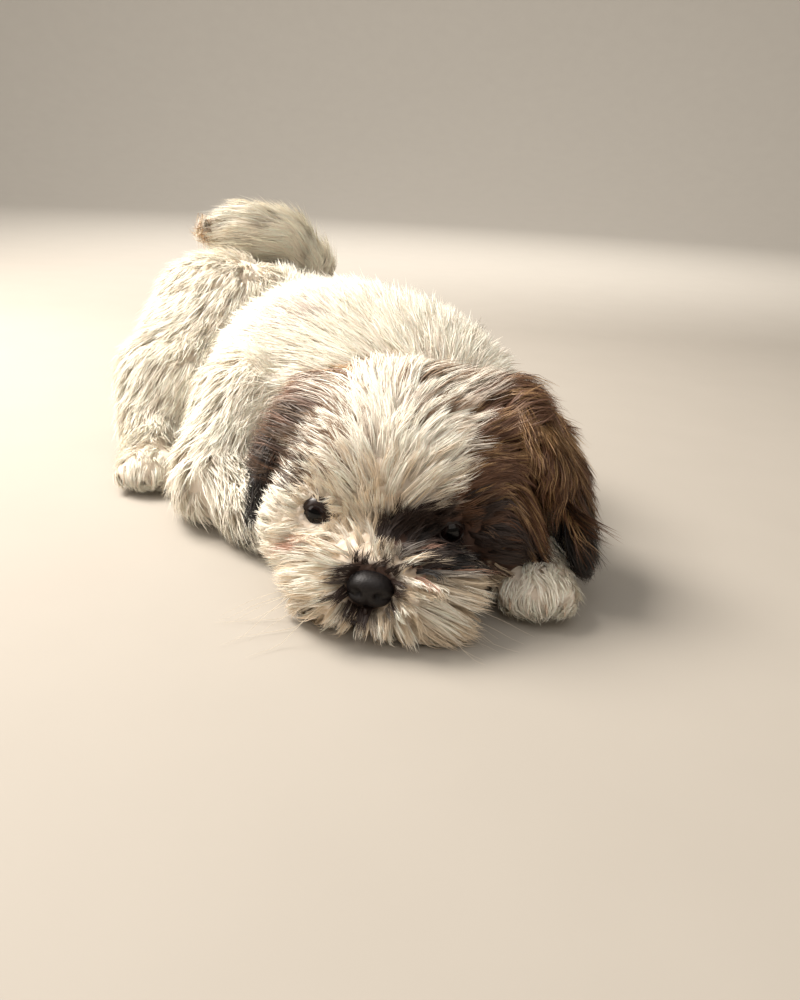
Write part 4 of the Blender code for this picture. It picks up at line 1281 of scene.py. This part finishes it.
# Lights: place, what they are turned to, size and colour.
WARM = (1.0, 0.94, 0.87)
DAY = (1.0, 0.98, 0.95)
LIGHTS = {
    "key": ((-0.60, 0.25, 0.85), (-0.02, 0.05, 0.05), 0.50, WARM),
    "fill": ((0.5, -0.9, 0.75), (0, 0, 0.03), 0.9, WARM),
    "side": ((-0.9, -0.3, 0.5), (0, 0, 0.03), 0.6, WARM),
    "backdrop": ((0, 1.0, 1.4), (0, 3.4, 0.5), 1.5, DAY),
}


def make_camera():
    """The camera at the photo's angle: it looks level along +Y, tilted down and rolled a little."""
    ahead = np.array((0, math.cos(CAMERA_TILT), -math.sin(CAMERA_TILT)))
    rise = np.array((0, math.sin(CAMERA_TILT), math.cos(CAMERA_TILT)))
    right = math.cos(CAMERA_ROLL) * np.array((1, 0, 0)) - math.sin(CAMERA_ROLL) * rise
    up = math.sin(CAMERA_ROLL) * np.array((1, 0, 0)) + math.cos(CAMERA_ROLL) * rise
    data = bpy.data.cameras.new("camera")
    data.sensor_width = 36
    data.lens = FOCAL_SHARE * data.sensor_width
    camera = bpy.data.objects.new("camera", data)
    bpy.context.scene.collection.objects.link(camera)
    matrix = np.eye(4)
    matrix[:3, 0], matrix[:3, 1], matrix[:3, 2] = right, up, -ahead
    matrix[:3, 3] = CAMERA_PLACE + OFFSET
    camera.matrix_world = Matrix(matrix)
    bpy.context.scene.camera = camera


def make_light(name, place, aim, size, power, colour):
    """A square soft light at a place, turned to what it lights and unseen itself."""
    data = bpy.data.lights.new(name, "AREA")
    data.size = size
    data.energy = power
    data.color = colour
    light = bpy.data.objects.new(name, data)
    light.visible_camera = False
    bpy.context.scene.collection.objects.link(light)
    back = unit(np.subtract(place, aim).astype(float))
    right = unit(np.cross((0, 0, 1.0), back))
    matrix = np.eye(4)
    matrix[:3, 0], matrix[:3, 1], matrix[:3, 2], matrix[:3, 3] = right, np.cross(back, right), back, place
    light.matrix_world = Matrix(matrix)


def bowl_mesh(flat, bend, height, segments=96):
    """A round floor whose rim curves up into a wall: rings at flat + bend sin(a) out and bend (1 - cos(a)) up,
    then one at the full height."""
    rise = np.linspace(0, math.pi / 2, 25)
    radii = np.append(flat + bend * np.sin(rise), flat + bend)[:, None]
    up = np.append(bend * (1 - np.cos(rise)), height)[:, None]
    turn = np.arange(segments) * 2 * math.pi / segments
    rings = np.stack([radii * np.cos(turn), radii * np.sin(turn), up + 0 * turn], -1)
    i, j = np.meshgrid(np.arange(len(radii) - 1), np.arange(segments), indexing="ij")
    a = 1 + i * segments + j
    b = 1 + i * segments + (j + 1) % segments
    wall = np.stack([a, a + segments, b + segments, a, b + segments, b], -1).reshape(-1, 3)
    fan = np.stack([0 * a[0], a[0], b[0]], -1)
    return mesh_of("floor", np.vstack([[(0, 0, 0)], rings.reshape(-1, 3)]) - (0, 0, FLOOR_DROP),
                   np.vstack([fan, wall]))


def make_stage(settings):
    """Round floor that curves up into a backdrop on all sides, lights and camera."""
    mesh = bowl_mesh(settings.floor_radius, settings.backdrop_bend, settings.backdrop_height)
    mesh.materials.append(floor_material())
    floor = bpy.data.objects.new("floor", mesh)
    bpy.context.scene.collection.objects.link(floor)
    for name, (place, aim, size, colour) in LIGHTS.items():
        make_light(name, place, aim, size, getattr(settings, f"{name}_power"), colour)
    world = bpy.data.worlds.new("room")
    world.use_nodes = True
    world.node_tree.nodes["Background"].inputs["Color"].default_value = (*DAY, 1)
    world.node_tree.nodes["Background"].inputs["Strength"].default_value = settings.room_light
    bpy.context.scene.world = world
    bpy.context.scene.view_settings.view_transform = "Standard"
    make_camera()


# Settings, operators and panel


def length_of(name, kind):
    """A length of hair that the user can change, from the kind's own."""
    return FloatProperty(name=name, description=f"Full length of the hair of this kind: {kind}",
                         default=COATS[kind].length, min=0.002, max=0.08, unit="LENGTH")


def colour_of(name):
    """A hair colour that the user can change, in linear light."""
    return FloatVectorProperty(name=name.capitalize(), description=f"Colour of the {name} hair",
                               default=tuple(linear(HAIR[name])), min=0.0, max=1.0, size=3, subtype="COLOR")


class PuppyCoatSettings(PropertyGroup):
    """Lengths and colours of the coat."""

    trunk_length: length_of("Body hair", "trunk")
    leg_length: length_of("Leg hair", "leg")
    paw_length: length_of("Paw hair", "paw")
    tail_length: length_of("Tail hair", "tail")
    crown_length: length_of("Crown hair", "crown")
    face_length: length_of("Face hair", "face")
    muzzle_length: length_of("Muzzle hair", "muzzle")
    ear_length: length_of("Ear hair", "ear")
    white: colour_of("white")
    cream: colour_of("cream")
    taupe: colour_of("taupe")
    brown: colour_of("brown")
    dark: colour_of("dark")
    tan: colour_of("tan")
    black: colour_of("black")
    flush: colour_of("flush")
    grey: colour_of("grey")
    soot: colour_of("soot")


class PuppyFaceSettings(PropertyGroup):
    """Sizes and colours of the eyes and whiskers."""

    pupil: FloatProperty(name="Pupil", description="Angle of the pupil's edge from the gaze",
                         default=PUPIL, min=0.1, max=0.6, unit="ROTATION")
    iris: FloatProperty(name="Iris", description="Angle of the iris's edge from the gaze",
                        default=IRIS, min=0.5, max=1.2, unit="ROTATION")
    iris_colour: FloatVectorProperty(name="Iris colour", description="Colour of the iris round the pupil",
                                     default=tuple(linear("#1C1210")), min=0.0, max=1.0, size=3,
                                     subtype="COLOR")
    whisker_length: FloatProperty(name="Whiskers", description="Length of the longest whisker", default=0.040,
                                  min=0.01, max=0.08, unit="LENGTH")
    whiskers: IntProperty(name="Whisker count", description="Whiskers on each side", default=9, min=3, max=20)


class PuppyStageSettings(PropertyGroup):
    """Sizes and light of the stage."""

    floor_radius: FloatProperty(name="Floor radius", description="Radius of the flat part of the floor",
                                default=2.5, unit="LENGTH")
    backdrop_bend: FloatProperty(name="Backdrop bend", description="Radius of the bend of floor to wall",
                                 default=1.5, unit="LENGTH")
    backdrop_height: FloatProperty(name="Backdrop height", description="Height of the wall all round",
                                   default=4.5, unit="LENGTH")
    key_power: FloatProperty(name="Key light", description="Power of the light above", default=25.0,
                                unit="POWER")
    fill_power: FloatProperty(name="Fill light", description="Power of the light ahead", default=2.0,
                                 unit="POWER")
    side_power: FloatProperty(name="Side light", description="Power of the light beside", default=3.0,
                                 unit="POWER")
    backdrop_power: FloatProperty(name="Backdrop light", description="Power of the light on the backdrop",
                                  default=60.0, unit="POWER")
    room_light: FloatProperty(name="Room light", description="Strength of the light all round", default=0.82)


class PUPPY_OT_skin(Operator):
    """Makes the one skin under the coat"""

    bl_idname = "puppy.skin"
    bl_label = "Skin"

    def execute(self, context):
        make_skin()
        return {"FINISHED"}


class PUPPY_OT_coat(Operator):
    """Makes every piece of the coat"""

    bl_idname = "puppy.coat"
    bl_label = "Coat"

    def execute(self, context):
        for name in COAT_PIECES:
            make_coat(name)
        return {"FINISHED"}


class PUPPY_OT_eyes(Operator):
    """Makes the eyes and their lids"""

    bl_idname = "puppy.eyes"
    bl_label = "Eyes and lids"

    def execute(self, context):
        make_eye("eye_right", EYE_RIGHT, -1, context.scene.puppy_face)
        make_eye("eye_left", EYE_LEFT, 1, context.scene.puppy_face)
        make_lids()
        return {"FINISHED"}


class PUPPY_OT_nose(Operator):
    """Makes the nose pad, the lips and the whiskers"""

    bl_idname = "puppy.nose"
    bl_label = "Nose, lips and whiskers"

    def execute(self, context):
        make_nose()
        make_lips()
        make_whiskers(context.scene.puppy_face)
        return {"FINISHED"}


class PUPPY_OT_claws(Operator):
    """Makes the claws"""

    bl_idname = "puppy.claws"
    bl_label = "Claws"

    def execute(self, context):
        make_claws()
        return {"FINISHED"}


class PUPPY_OT_stage(Operator):
    """Makes the floor, the lights and the camera"""

    bl_idname = "puppy.stage"
    bl_label = "Stage"

    def execute(self, context):
        make_stage(context.scene.puppy_stage)
        return {"FINISHED"}


STEPS = (PUPPY_OT_skin, PUPPY_OT_coat, PUPPY_OT_eyes, PUPPY_OT_nose, PUPPY_OT_claws, PUPPY_OT_stage)


class PUPPY_PT_panel(Panel):
    """Lists the steps that make the puppy"""

    bl_label = "Puppy"
    bl_idname = "PUPPY_PT_panel"
    bl_space_type = "VIEW_3D"
    bl_region_type = "UI"
    bl_category = "Puppy"

    def draw(self, context):
        for step in STEPS:
            self.layout.operator(step.bl_idname)
        for place, kind in SETTINGS.items():
            for name in kind.__annotations__:
                self.layout.prop(getattr(context.scene, place), name)


SETTINGS = {"puppy_coat": PuppyCoatSettings, "puppy_face": PuppyFaceSettings, "puppy_stage": PuppyStageSettings}
CLASSES = (*SETTINGS.values(), *STEPS, PUPPY_PT_panel)


def register():
    for kind in CLASSES:
        bpy.utils.register_class(kind)
    for place, kind in SETTINGS.items():
        setattr(bpy.types.Scene, place, PointerProperty(type=kind))


def unregister():
    for place in SETTINGS:
        delattr(bpy.types.Scene, place)
    for kind in reversed(CLASSES):
        bpy.utils.unregister_class(kind)


def main():
    register()
    for step in STEPS:
        group, name = step.bl_idname.split(".")
        getattr(getattr(bpy.ops, group), name)()


if __name__ == "__main__":
    main()
